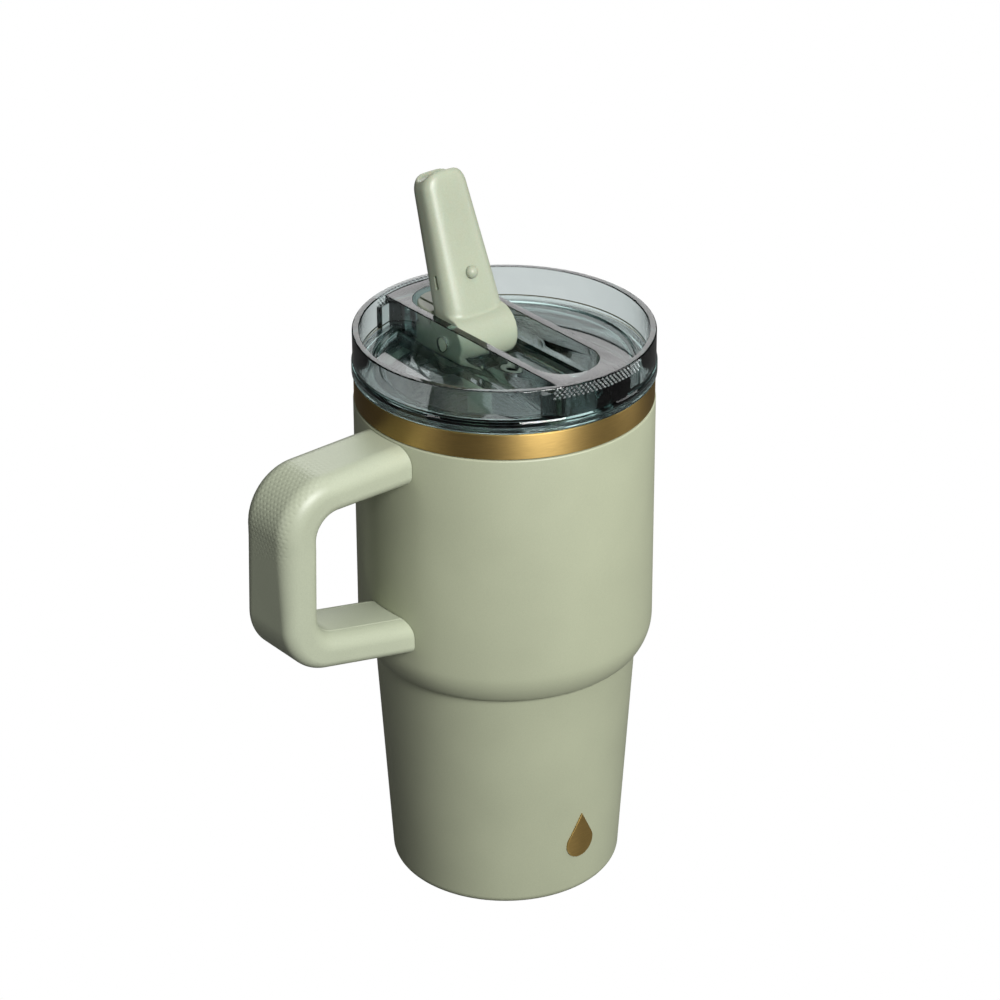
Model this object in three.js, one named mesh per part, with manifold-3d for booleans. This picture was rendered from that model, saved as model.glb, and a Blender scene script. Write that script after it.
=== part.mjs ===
// Insulated steel tumbler with a side handle, a clear quarter-turn lid and a flip-up drinking spout.
// Millimetres, +Z up. The origin is the centre of the base. The handle points to -X, the bridge of the
// lid runs along Y, and the spout folds down towards -Y about a hinge that lies along X.
import * as THREE from "three";
import Module from "manifold-3d";
import { mergeVertices } from "three/addons/utils/BufferGeometryUtils.js";

const wasm = await Module();
wasm.setup();

// ---- Driving dimensions ----
const HEIGHT = 178.8; // base to the top of the lid's rim
const BODY_RADIUS = 44.5; // painted outside of the upper body
const LID_WALL_HEIGHT = 13.4;
const BAND_HEIGHT = 7.75;
const HANDLE_GAP = 31.3; // from the body to the finger side of the grip
const HANDLE_BAR = 11.8; // thickness of the grip, seen from the side
const HANDLE_WIDTH = 22.8;
const SPOUT_HALF_WIDTH = 9.9;
const BARREL_RADIUS = 8; // hinge barrel at the root of the spout
const SPOUT_LEAN = THREE.MathUtils.degToRad(20); // how far the open spout leans back
const STRAW_RADIUS = 4.3;

// ---- Fits ----
const GAP = 0.3; // between pieces that touch or rest on each other
const RUN = 0.4; // between pieces that turn past each other
const SIDES = 40; // facets round the big turned pieces
const FINE = 16; // facets round the small turned pieces

// ---- Heights worked out from the driving sizes ----
const LID_BOTTOM = HEIGHT - LID_WALL_HEIGHT;
const CUP_RIM = LID_BOTTOM - GAP;
const BAND_BOTTOM = CUP_RIM - BAND_HEIGHT;
const SHOULDER_TOP = 0.478 * HEIGHT;
const BRIDGE_TOP = HEIGHT - 0.6;
const DECK_TOP = LID_BOTTOM + 4;
const PIVOT_Z = BRIDGE_TOP - 6.9;
const SLOT_FLOOR = PIVOT_Z - 5.7;
const CUP_FLOOR = 8.8;

// ---- Radii worked out from the driving sizes ----
const CONE_TOP_RADIUS = 0.89 * BODY_RADIUS;
const BASE_RADIUS = 0.784 * BODY_RADIUS;
const SHELL_WALL = 1;
const LINER_WALL = 0.8;
const SHOULDER_RADIUS = 0.315 * BODY_RADIUS;
const BASE_FILLET = 3.5;
const BAND_WALL = 0.8;
const BAND_RADIUS = BODY_RADIUS - 0.2;
const NECK_RADIUS = BAND_RADIUS - BAND_WALL - GAP;
const LINER_RADIUS = NECK_RADIUS - SHELL_WALL - GAP;
const MOUTH_RADIUS = LINER_RADIUS - LINER_WALL;
const VACUUM = BODY_RADIUS - SHELL_WALL - LINER_RADIUS;

// ---- Lid sizes ----
const LID_RADIUS = BODY_RADIUS + 0.3;
const LID_WALL = 2.5;
const SLOT_HALF = SPOUT_HALF_WIDTH + RUN;
const SLOT_END = LID_RADIUS - 7.6; // half the length of the slot
const BRIDGE_HALF = SLOT_HALF + 2.8;
const PIVOT_Y = SLOT_END - 23.4;
const SPOUT_LENGTH = PIVOT_Y + SLOT_END - 1.4; // from the pivot to the tip
const SKIRT_RADIUS = MOUTH_RADIUS - 1.3;
const SKIRT_WALL = 2.2;
const SKIRT_BOTTOM = CUP_RIM - 13.6;
const LUG_RADIUS = MOUTH_RADIUS - 0.25;
const LUG_COUNT = 3;
const LID_LUG_ANGLE = THREE.MathUtils.degToRad(26);
const CUP_LUG_ANGLE = THREE.MathUtils.degToRad(34);
const GASKET_BOTTOM = CUP_RIM - 6.5;
const GASKET_HEIGHT = 3;
const BOSS_RADIUS = 8;
const SEAL_RADIUS = 5.5;
const SEAL_BOTTOM = PIVOT_Z - BARREL_RADIUS - 2.4;
const BOSS_BOTTOM = SEAL_BOTTOM - 2.4;
const BORE_RADIUS = 2.7; // the way the drink takes through the barrel and the spout
const NIPPLE_RADIUS = STRAW_RADIUS - 0.65 - 0.2;
const VENT_REACH = 18.7; // from the pivot to the nub that closes the air vent
const VENT_Y = PIVOT_Y - VENT_REACH;
const NUB_RADIUS = 1.9;
const DETENT_REACH = 17.9;

// ---- Working with solids ----

// A closed geometry as a manifold solid, whichever way round its faces were wound.
function solid(geometry) {
  const bare = new THREE.BufferGeometry();
  bare.setAttribute("position", geometry.getAttribute("position"));
  bare.setIndex(geometry.getIndex());
  const merged = mergeVertices(bare, 1e-4);
  const index = Uint32Array.from(merged.getIndex().array);
  const build = (triVerts) =>
    new wasm.Manifold(
      new wasm.Mesh({
        numProp: 3,
        vertProperties: Float32Array.from(merged.getAttribute("position").array),
        triVerts,
      }),
    );
  const made = build(index);
  if (made.volume() > 0) return made;
  for (let i = 0; i < index.length; i += 3) {
    [index[i], index[i + 1]] = [index[i + 1], index[i]];
  }
  return build(index);
}

const join = (first, ...others) => others.reduce((sum, next) => sum.add(next), first);

const cut = (first, ...others) => others.reduce((rest, next) => rest.subtract(next), first);

// A named mesh of a solid, in its own colour.
function piece(name, shape, color, roughness, metalness) {
  const { vertProperties, triVerts } = shape.getMesh();
  const geometry = new THREE.BufferGeometry();
  geometry.setAttribute("position", new THREE.BufferAttribute(vertProperties, 3));
  geometry.setIndex(new THREE.BufferAttribute(triVerts, 1));
  geometry.computeVertexNormals();
  const material = new THREE.MeshStandardMaterial({ color, roughness, metalness });
  const mesh = new THREE.Mesh(geometry, material);
  mesh.name = name;
  return mesh;
}

// A profile of [radius, height] points turned about Z.
function turned(profile, sides = SIDES) {
  const points = profile.map(([radius, height]) => new THREE.Vector2(radius, height));
  const geometry = new THREE.LatheGeometry(points, sides);
  geometry.rotateX(Math.PI / 2);
  return solid(geometry);
}

const disc = (radius, bottom, top, sides = SIDES) =>
  turned([[0, bottom], [radius, bottom], [radius, top], [0, top]], sides);

const ring = (outer, inner, bottom, top, sides = SIDES) =>
  turned([[inner, bottom], [outer, bottom], [outer, top], [inner, top], [inner, bottom]], sides);

const post = (radius, bottom, top, y, sides = FINE) =>
  disc(radius, bottom, top, sides).translate([0, y, 0]);

function box(x0, x1, y0, y1, z0, z1) {
  const geometry = new THREE.BoxGeometry(x1 - x0, y1 - y0, z1 - z0);
  return solid(geometry).translate([(x0 + x1) / 2, (y0 + y1) / 2, (z0 + z1) / 2]);
}

// A cylinder that lies along X.
const axle = (radius, halfLength, y, z, sides = SIDES) =>
  disc(radius, -halfLength, halfLength, sides).rotate([0, 90, 0]).translate([0, y, z]);

// Points of an arc; angles in radians, both ends included.
function arc(centreX, centreY, radius, from, to, steps) {
  return Array.from({ length: steps + 1 }, (_, i) => {
    const angle = from + ((to - from) * i) / steps;
    return [centreX + radius * Math.cos(angle), centreY + radius * Math.sin(angle)];
  });
}

// An outline through corners [x, y, radius], with each corner rounded by its own radius.
function roundedOutline(corners, steps = 5) {
  const outline = corners.flatMap(([x, y, radius], i) => {
    if (!radius) return [new THREE.Vector2(x, y)];
    const corner = new THREE.Vector2(x, y);
    const before = corners[(i + corners.length - 1) % corners.length];
    const after = corners[(i + 1) % corners.length];
    const back = new THREE.Vector2(before[0] - x, before[1] - y).normalize();
    const on = new THREE.Vector2(after[0] - x, after[1] - y).normalize();
    const half = Math.acos(THREE.MathUtils.clamp(back.dot(on), -1, 1)) / 2;
    const middle = back.clone().add(on).normalize();
    const centre = corner.clone().addScaledVector(middle, radius / Math.sin(half));
    const start = corner.clone().addScaledVector(back, radius / Math.tan(half)).sub(centre);
    const sweep = (Math.PI - 2 * half) * Math.sign(back.cross(on)) * -1;
    return Array.from({ length: steps + 1 }, (_, step) =>
      start.clone().rotateAround(new THREE.Vector2(), (sweep * step) / steps).add(centre),
    );
  });
  return new THREE.Shape(outline);
}

// A flat shape raised from one height to another.
function prism(shape, bottom, top) {
  const geometry = new THREE.ExtrudeGeometry(shape, { depth: top - bottom, bevelEnabled: false });
  return solid(geometry).translate([0, 0, bottom]);
}

const stadium = (halfWidth, halfLength, steps = 8) =>
  new THREE.Shape(
    [
      ...arc(0, halfLength - halfWidth, halfWidth, 0, Math.PI, steps),
      ...arc(0, halfWidth - halfLength, halfWidth, Math.PI, 2 * Math.PI, steps),
    ].map(([x, y]) => new THREE.Vector2(x, y)),
  );

// A wedge about Z that reaches past the lid, used to take a stretch out of a ring.
function wedge(middle, width, bottom, top) {
  const reach = 2 * LID_RADIUS;
  const side = (turn) => [reach * Math.cos(middle + turn), reach * Math.sin(middle + turn)];
  const corners = [[0, 0], side(-width / 2), side(0), side(width / 2)];
  return prism(new THREE.Shape(corners.map(([x, y]) => new THREE.Vector2(x, y))), bottom, top);
}

// Equal stretches of a ring, evenly spaced, the first one centred on a given angle.
function lugs(stretch, first, angle, bottom, top) {
  const parts = Array.from({ length: LUG_COUNT }, (_, i) =>
    stretch.intersect(wedge(first + (i * 2 * Math.PI) / LUG_COUNT, angle, bottom, top)),
  );
  return join(...parts);
}

// ---- Body ----

// The outside of the cup from the base to the step under the band, moved in by an inset.
function bodySide(inset) {
  const shoulderCentre = BODY_RADIUS - SHOULDER_RADIUS;
  const radius = SHOULDER_RADIUS - inset;
  const coneTop = CONE_TOP_RADIUS - inset;
  const turn = Math.acos((coneTop - shoulderCentre) / radius);
  return arc(shoulderCentre, SHOULDER_TOP, radius, -turn, 0, 4);
}

function outerShell() {
  const bottom = 0.5;
  const baseCentre = BASE_RADIUS - BASE_FILLET;
  const fillet = (radius) =>
    arc(baseCentre, bottom + BASE_FILLET, radius, -Math.PI / 2, -0.06, 3);
  const mouth = baseCentre - 1.5;
  const top = CUP_RIM - SHELL_WALL;
  const step = BAND_BOTTOM - GAP;
  const inside = BODY_RADIUS - SHELL_WALL;
  const neckInside = NECK_RADIUS - SHELL_WALL;
  return turned([
    [mouth, bottom],
    ...fillet(BASE_FILLET),
    ...bodySide(0),
    [BODY_RADIUS, step],
    [NECK_RADIUS, step],
    [NECK_RADIUS, top],
    [neckInside, top],
    [neckInside, step - SHELL_WALL],
    [inside, step - SHELL_WALL],
    ...bodySide(SHELL_WALL).reverse(),
    ...fillet(BASE_FILLET - SHELL_WALL).reverse(),
    [mouth, bottom + SHELL_WALL],
    [mouth, bottom],
  ]);
}

// The inner cup. Its lip turns outwards over the top of the outer shell, and three pressed lugs
// under the lip hold the lid down.
function innerLiner() {
  const corner = 7;
  const outsideInset = SHELL_WALL + VACUUM;
  const insideInset = outsideInset + LINER_WALL;
  const bottom = CUP_FLOOR - LINER_WALL;
  const low = BASE_RADIUS - outsideInset - 0.4;
  const bend = (radius, inset) =>
    arc(low - corner, bottom + corner, radius - inset, -Math.PI / 2, -0.06, 3);
  const cup = turned([
    [0, bottom],
    ...bend(corner, 0),
    ...bodySide(outsideInset),
    [LINER_RADIUS, CUP_RIM - LINER_WALL],
    [NECK_RADIUS, CUP_RIM - LINER_WALL],
    [NECK_RADIUS, CUP_RIM],
    [MOUTH_RADIUS, CUP_RIM],
    ...bodySide(insideInset).reverse(),
    ...bend(corner, LINER_WALL).reverse(),
    [0, CUP_FLOOR],
  ]);
  const lugBottom = SKIRT_BOTTOM + 3.7;
  const lugTop = lugBottom + 2;
  const stretch = ring(MOUTH_RADIUS + LINER_WALL / 2, MOUTH_RADIUS - 0.85, lugBottom, lugTop);
  return join(cup, lugs(stretch, Math.PI / LUG_COUNT, CUP_LUG_ANGLE, lugBottom, lugTop));
}

const PLATE_RADIUS = BASE_RADIUS - BASE_FILLET - 1.5 - GAP;
const PLATE_BOTTOM = 2.3;
const DIMPLE_RADIUS = 6;

// The steel disc welded into the foot of the outer shell, pressed up in the middle round the hole
// that the air was drawn out through.
function basePlate() {
  const thick = 0.9;
  return cut(
    join(
      disc(PLATE_RADIUS, PLATE_BOTTOM, PLATE_BOTTOM + thick),
      disc(DIMPLE_RADIUS + thick, PLATE_BOTTOM, PLATE_BOTTOM + 1.6 + thick, FINE),
    ),
    disc(DIMPLE_RADIUS, PLATE_BOTTOM - 1, PLATE_BOTTOM + 1.6, FINE),
    disc(0.8, PLATE_BOTTOM, PLATE_BOTTOM + 5, FINE),
  );
}

const vacuumSeal = () => disc(DIMPLE_RADIUS - 1.2, PLATE_BOTTOM + 0.2, PLATE_BOTTOM + 1.3, FINE);

// The gas-absorbing pill that keeps the vacuum, clipped on the inside of the base plate.
function getter() {
  const bottom = PLATE_BOTTOM + 0.9 + GAP;
  return disc(4, bottom, bottom + 2, FINE).translate([0, 0.5 * PLATE_RADIUS, 0]);
}

// The soft pad that the tumbler stands on.
const basePad = () =>
  turned([
    [0, 0],
    [PLATE_RADIUS - 0.8, 0],
    [PLATE_RADIUS, 0.8],
    [PLATE_RADIUS, PLATE_BOTTOM - GAP],
    [0, PLATE_BOTTOM - GAP],
  ]);

function rimBand() {
  const inner = BAND_RADIUS - BAND_WALL;
  const edge = 0.25;
  return turned([
    [inner, BAND_BOTTOM],
    [BAND_RADIUS - edge, BAND_BOTTOM],
    [BAND_RADIUS, BAND_BOTTOM + edge],
    [BAND_RADIUS, CUP_RIM - edge],
    [BAND_RADIUS - edge, CUP_RIM],
    [inner, CUP_RIM],
    [inner, BAND_BOTTOM],
  ]);
}

// A plain water drop, curved to the body and set low on its front.
function emblem() {
  const height = 0.121 * HEIGHT;
  const radius = 5;
  const tip = 10.6;
  const tangent = Math.acos(radius / tip);
  const outline = [
    ...arc(0, 0, radius, Math.PI / 2 + tangent, 2.5 * Math.PI - tangent, 14),
    [0, tip],
  ];
  const drop = new THREE.Shape(outline.map(([x, z]) => new THREE.Vector2(x, z)));
  const drops = prism(drop, 0, BODY_RADIUS)
    .rotate([90, 0, 0])
    .translate([0, 0, height - 2.8]);
  const shoulder = bodySide(0)[0];
  const slope = (shoulder[0] - BASE_RADIUS) / shoulder[1];
  const skin = (z, offset) => [BASE_RADIUS + slope * z + offset, z];
  const [low, high, far] = [height - 12, height + 12, GAP + 0.5];
  const band = turned([
    skin(low, GAP),
    skin(low, far),
    skin(high, far),
    skin(high, GAP),
    skin(low, GAP),
  ], 2 * SIDES);
  return drops.intersect(band);
}

// ---- Handle ----

const HANDLE_EDGE = 4; // rounding along the handle's long edges
const GRIP_INSIDE = BODY_RADIUS + HANDLE_GAP;
const GRIP_OUTSIDE = GRIP_INSIDE + HANDLE_BAR;
const UPPER_ARM_TOP = BAND_BOTTOM - 0.9;
const UPPER_ARM_BOTTOM = UPPER_ARM_TOP - 12;
const LOWER_ARM_BOTTOM = SHOULDER_TOP + 3.8;
const LOWER_ARM_TOP = LOWER_ARM_BOTTOM + 10.5;
const UPPER_FALL = -0.03; // slope of the upper arm's top, going outwards
const LOWER_RISE = 0.2; // slope of the lower arm, going outwards
const COVER_DEPTH = 2.6;
const COVER_HALF_WIDTH = HANDLE_WIDTH / 2 - HANDLE_EDGE - 0.2;
const ROOT = BODY_RADIUS - 8; // the arms are drawn to here and then cut to the body

// Height of a line that passes the body's side at a height and goes outwards at a slope.
const along = (height, slope, radius) => height + slope * (radius - BODY_RADIUS);

// The handle's outline is drawn as [distance from the axis, height] and stood up along -X.
const standUp = (solidShape) => solidShape.rotate([90, 0, 180]);

function handleSolid() {
  const outline = roundedOutline([
    [ROOT, along(UPPER_ARM_TOP, UPPER_FALL, ROOT), 0],
    [ROOT, UPPER_ARM_BOTTOM, 0],
    [GRIP_INSIDE, UPPER_ARM_BOTTOM, 7.5],
    [GRIP_INSIDE, along(LOWER_ARM_TOP, LOWER_RISE, GRIP_INSIDE), 8],
    [ROOT, along(LOWER_ARM_TOP, LOWER_RISE, ROOT), 0],
    [ROOT, along(LOWER_ARM_BOTTOM, LOWER_RISE, ROOT), 0],
    [GRIP_OUTSIDE, along(LOWER_ARM_BOTTOM, LOWER_RISE, GRIP_OUTSIDE), 16],
    [GRIP_OUTSIDE, along(UPPER_ARM_TOP, UPPER_FALL, GRIP_OUTSIDE), 16.5],
  ], 6);
  const geometry = new THREE.ExtrudeGeometry(outline, {
    depth: HANDLE_WIDTH - 2 * HANDLE_EDGE,
    bevelThickness: HANDLE_EDGE,
    bevelSize: HANDLE_EDGE,
    bevelOffset: -HANDLE_EDGE,
    bevelSegments: 3,
  });
  return standUp(solid(geometry).translate([0, 0, HANDLE_EDGE - HANDLE_WIDTH / 2]));
}

// A strip that follows the finger side of the handle, from one depth under it to another.
function fingerStrip(near, far, halfWidth) {
  const bend = 8;
  const side = (depth) => [
    [ROOT - 4, UPPER_ARM_BOTTOM + depth, 0],
    [GRIP_INSIDE + depth, UPPER_ARM_BOTTOM + depth, bend + depth],
    [GRIP_INSIDE + depth, along(LOWER_ARM_TOP, LOWER_RISE, GRIP_INSIDE) - depth, bend + depth],
    [ROOT - 4, along(LOWER_ARM_TOP, LOWER_RISE, ROOT - 4) - depth, 0],
  ];
  const outline = roundedOutline([...side(near), ...side(far).reverse()], 6);
  return standUp(prism(outline, -halfWidth, halfWidth));
}

// One steel tongue with the room round it and its screw, drawn flat on the finger side of an arm:
// X goes outwards from the body, Z goes into the arm.
const TONGUE_END = 15;
const TONGUE_LOW = 4.7;
const TONGUE_HIGH = 7.5;
const TONGUE_HALF_WIDTH = 6;
const SCREW_AT = 9.5;
const SCREW_RADIUS = 1.5;
const SCREW_HEAD_RADIUS = 2.7;
const SCREW_HEAD = COVER_DEPTH + GAP - 1.4;

const onArm = (shape, height, tilt, upsideDown) =>
  shape
    .rotate([upsideDown ? 180 : 0, 0, 0])
    .rotate([0, -THREE.MathUtils.radToDeg(Math.atan(tilt)), 0])
    .translate([BODY_RADIUS, 0, height])
    .rotate([0, 0, 180]);

const onUpperArm = (shape) => onArm(shape, UPPER_ARM_BOTTOM, 0, false);
const onLowerArm = (shape) => onArm(shape, LOWER_ARM_TOP, LOWER_RISE, true);
const screwHole = (radius, low, high) =>
  disc(radius, low, high, FINE).translate([SCREW_AT, 0, 0]);

const tongue = () =>
  cut(
    box(-6, TONGUE_END, -TONGUE_HALF_WIDTH, TONGUE_HALF_WIDTH, TONGUE_LOW, TONGUE_HIGH),
    screwHole(SCREW_RADIUS + GAP / 2, 0, 12),
  );

function tongueRoom() {
  const wide = TONGUE_HALF_WIDTH + GAP;
  return join(
    box(-12, TONGUE_END + GAP, -wide, wide, TONGUE_LOW - GAP, TONGUE_HIGH + GAP),
    screwHole(SCREW_RADIUS + GAP / 2, 0, TONGUE_HIGH + 1),
  );
}

const handleScrew = () =>
  join(
    screwHole(SCREW_HEAD_RADIUS, SCREW_HEAD, COVER_DEPTH + GAP - 0.05),
    screwHole(SCREW_RADIUS, SCREW_HEAD, TONGUE_HIGH + 0.6),
  );

const bodyRoom = () => disc(BODY_RADIUS + GAP, 0, HEIGHT, SIDES);

function handleShell() {
  return cut(
    handleSolid(),
    bodyRoom(),
    fingerStrip(-4, COVER_DEPTH + GAP, COVER_HALF_WIDTH + GAP),
    onUpperArm(tongueRoom()),
    onLowerArm(tongueRoom()),
  );
}

function handleCover() {
  const headRoom = () => screwHole(SCREW_HEAD_RADIUS + GAP, SCREW_HEAD - GAP, 6);
  return cut(
    fingerStrip(0, COVER_DEPTH, COVER_HALF_WIDTH),
    bodyRoom(),
    onUpperArm(headRoom()),
    onLowerArm(headRoom()),
  );
}

// ---- Lid ----

function lidWall() {
  const inner = LID_RADIUS - LID_WALL;
  const edge = 0.9;
  const outside = LID_RADIUS - edge;
  const inside = inner + edge;
  return turned([
    [inner, DECK_TOP - 1],
    [inner, LID_BOTTOM + 1.4],
    [inner - 1, LID_BOTTOM + 0.4],
    [inner - 1, LID_BOTTOM],
    [LID_RADIUS - 0.4, LID_BOTTOM],
    [LID_RADIUS, LID_BOTTOM + 0.4],
    ...arc(outside, HEIGHT - edge, edge, 0, Math.PI / 2, 2),
    ...arc(inside, HEIGHT - edge, edge, Math.PI / 2, Math.PI, 2),
    [inner, DECK_TOP - 1],
  ]);
}

// The deck on both sides of the bridge, with a lower middle, and the skirt that goes into the cup.
function deckAndSkirt() {
  const under = DECK_TOP - 2.4;
  const edge = LID_RADIUS - LID_WALL + 0.6;
  const grooveRadius = SKIRT_RADIUS - 1.2;
  const inside = SKIRT_RADIUS - SKIRT_WALL;
  return turned([
    [0, under],
    [inside, under],
    [inside, SKIRT_BOTTOM],
    [SKIRT_RADIUS - 0.6, SKIRT_BOTTOM],
    [SKIRT_RADIUS, SKIRT_BOTTOM + 0.6],
    [SKIRT_RADIUS, GASKET_BOTTOM - GAP],
    [grooveRadius, GASKET_BOTTOM - GAP],
    [grooveRadius, GASKET_BOTTOM + GASKET_HEIGHT + GAP],
    [SKIRT_RADIUS, GASKET_BOTTOM + GASKET_HEIGHT + GAP],
    [SKIRT_RADIUS, under],
    [edge, under],
    [edge, DECK_TOP],
    [edge - 4.2, DECK_TOP],
    [edge - 4.8, DECK_TOP - 0.6],
    [0, DECK_TOP - 0.6],
  ]);
}

// Thicker stretches of the wall behind the two finger grips.
function gripBlocks() {
  const inner = LID_RADIUS - LID_WALL;
  const [bottom, top] = [DECK_TOP - 1, HEIGHT - 2.4];
  const width = THREE.MathUtils.degToRad(49);
  const stretch = ring(inner + 0.5, inner - 1.8, bottom, top);
  const block = (middle) => stretch.intersect(wedge(middle, width, bottom, top));
  return join(block(Math.PI / 2), block(-Math.PI / 2));
}

// The floor of the slot bulges down round the barrel.
function barrelHousing() {
  const radius = BARREL_RADIUS + RUN + 1.8;
  const low = box(-BRIDGE_HALF, BRIDGE_HALF, -HEIGHT, HEIGHT, 0, DECK_TOP - 1.5);
  return axle(radius, BRIDGE_HALF, PIVOT_Y, PIVOT_Z).intersect(low);
}

const snapBump = (side) =>
  solid(new THREE.SphereGeometry(1.8, 12, 8)).translate([
    side * (SLOT_HALF + 1.3),
    PIVOT_Y - DETENT_REACH,
    PIVOT_Z,
  ]);

function lidBody() {
  const across = LID_RADIUS;
  const underSlot = SLOT_FLOOR - 2.2;
  const bridge = box(-BRIDGE_HALF, BRIDGE_HALF, -across, across, underSlot, BRIDGE_TOP);
  const insideWall = disc(LID_RADIUS - LID_WALL + 0.5, DECK_TOP - 2, HEIGHT);
  const insideSkirt = disc(SKIRT_RADIUS - 1, underSlot, DECK_TOP - 1.5);
  const lugBottom = SKIRT_BOTTOM + 0.7;
  const lugTop = lugBottom + 2.2;
  const lugRing = ring(LUG_RADIUS, SKIRT_RADIUS - 0.5, lugBottom, lugTop);
  const body = join(
    lidWall(),
    deckAndSkirt(),
    gripBlocks(),
    bridge.intersect(join(insideWall, insideSkirt)),
    lugs(lugRing, 0, LID_LUG_ANGLE, lugBottom, lugTop),
    barrelHousing(),
    post(BOSS_RADIUS, BOSS_BOTTOM, SLOT_FLOOR, PIVOT_Y),
    post(NIPPLE_RADIUS, BOSS_BOTTOM - 8.5, BOSS_BOTTOM + 1, PIVOT_Y),
  );
  const hollow = cut(
    body,
    prism(stadium(SLOT_HALF, SLOT_END), SLOT_FLOOR, HEIGHT + 1),
    axle(BARREL_RADIUS + RUN, SLOT_HALF, PIVOT_Y, PIVOT_Z),
    axle(HINGE_PIN + GAP, SLOT_HALF + 1.6, PIVOT_Y, PIVOT_Z, FINE),
    post(SEAL_RADIUS + GAP, SEAL_BOTTOM - GAP, PIVOT_Z, PIVOT_Y),
    post(NIPPLE_RADIUS - 1.1, BOSS_BOTTOM - 10, PIVOT_Z, PIVOT_Y),
    post(GROMMET_RADIUS + GAP, SLOT_FLOOR - 1.5, SLOT_FLOOR + 1, VENT_Y),
    post(NUB_RADIUS + 0.3, underSlot - 1, SLOT_FLOOR, VENT_Y),
  );
  return join(hollow, snapBump(1), snapBump(-1));
}

function lidGasket() {
  const inner = SKIRT_RADIUS - 1.2 + GAP;
  const outer = MOUTH_RADIUS - 0.2;
  const top = GASKET_BOTTOM + GASKET_HEIGHT;
  const middle = (GASKET_BOTTOM + top) / 2;
  const valley = outer - 0.7;
  return turned([
    [inner, GASKET_BOTTOM],
    [outer - 0.3, GASKET_BOTTOM],
    [outer, GASKET_BOTTOM + 0.5],
    [valley, middle],
    [outer, top - 0.5],
    [outer - 0.3, top],
    [inner, top],
    [inner, GASKET_BOTTOM],
  ]);
}

// ---- Spout and its seals ----

const HINGE_PIN = 2;
const GROMMET_RADIUS = 3.7;
const SPOUT_BACK = 0.8; // the spout's middle plane lies this far behind the pivot
const SPOUT_TIP_ROUND = 5;
const SPOUT_START = 2;

// Half sizes of the spout's section at a distance from the pivot.
function spoutSection(reach) {
  const taper = THREE.MathUtils.clamp((reach - 10) / (SPOUT_LENGTH - 13.6), 0, 1.1);
  const round = Math.max(0, reach - (SPOUT_LENGTH - SPOUT_TIP_ROUND)) / SPOUT_TIP_ROUND;
  const shrink = 1 - Math.sqrt(Math.max(0, 1 - round * round));
  return {
    width: SPOUT_HALF_WIDTH * (1 - 0.212 * taper) - 0.8 * SPOUT_TIP_ROUND * shrink,
    depth: 6 - 1.3 * taper - 1.5 * shrink * shrink,
  };
}

// The blade of the spout: rounded sections joined from the root to the tip.
function spoutBlade() {
  const around = 24;
  const squareness = 2 / 3.5;
  const straight = 5;
  const rounded = 5;
  const reaches = [
    ...Array.from({ length: straight }, (_, i) =>
      THREE.MathUtils.lerp(SPOUT_START, SPOUT_LENGTH - SPOUT_TIP_ROUND, i / straight),
    ),
    ...Array.from({ length: rounded + 1 }, (_, i) =>
      SPOUT_LENGTH - SPOUT_TIP_ROUND * (1 - Math.sin((i / rounded) * (Math.PI / 2))),
    ),
  ];
  const soften = (value) => Math.sign(value) * Math.abs(value) ** squareness;
  const vertices = reaches.flatMap((reach) => {
    const { width, depth } = spoutSection(reach);
    return Array.from({ length: around }, (_, i) => {
      const angle = (i / around) * 2 * Math.PI;
      const across = width * soften(Math.cos(angle));
      return [across, SPOUT_BACK + depth * soften(Math.sin(angle)), reach];
    }).flat();
  });
  const faces = [];
  const last = (reaches.length - 1) * around;
  for (let row = 0; row < last; row += around) {
    for (let i = 0; i < around; i += 1) {
      const next = (i + 1) % around;
      faces.push(row + i, row + next, row + around + i);
      faces.push(row + next, row + around + next, row + around + i);
    }
  }
  for (let i = 1; i < around - 1; i += 1) {
    faces.push(0, i + 1, i, last, last + i, last + i + 1);
  }
  const geometry = new THREE.BufferGeometry();
  geometry.setAttribute("position", new THREE.Float32BufferAttribute(vertices, 3));
  geometry.setIndex(faces);
  return solid(geometry);
}

// The spout with its hinge barrel, drawn upright about the pivot; -Y is the side that folds down.
function spout() {
  const nubHeight = 7.1; // from the pivot's plane
  const nub = disc(NUB_RADIUS, 0, nubHeight, FINE).rotate([90, 0, 0]).translate([0, 0, VENT_REACH]);
  const valley = axle(3.6, 2 * SPOUT_HALF_WIDTH, SPOUT_BACK, SPOUT_LENGTH + 1.6, FINE);
  const mouth = solid(new THREE.CylinderGeometry(2.3, 2.3, 14, FINE).scale(1.8, 1, 1))
    .rotate([90, 0, 0])
    .translate([0, SPOUT_BACK, SPOUT_LENGTH - 4]);
  const rise = disc(BORE_RADIUS, 0, SPOUT_LENGTH - 5, FINE).translate([0, SPOUT_BACK / 2, 0]);
  const inlet = disc(BORE_RADIUS, -2 * BARREL_RADIUS, 1, FINE)
    .rotate([THREE.MathUtils.radToDeg(SPOUT_LEAN), 0, 0]);
  const detentAt = spoutSection(DETENT_REACH).width;
  const detent = (side) =>
    box(-0.6, 0.6, -0.7, 0.7, -2.2, 2.2).translate([side * detentAt, 0, DETENT_REACH]);
  const body = join(
    spoutBlade(),
    axle(BARREL_RADIUS, SPOUT_HALF_WIDTH, 0, 0),
    axle(HINGE_PIN, SPOUT_HALF_WIDTH + 1.6, 0, 0, FINE),
    nub,
  );
  return cut(body, valley, mouth, rise, inlet, detent(1), detent(-1));
}

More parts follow.
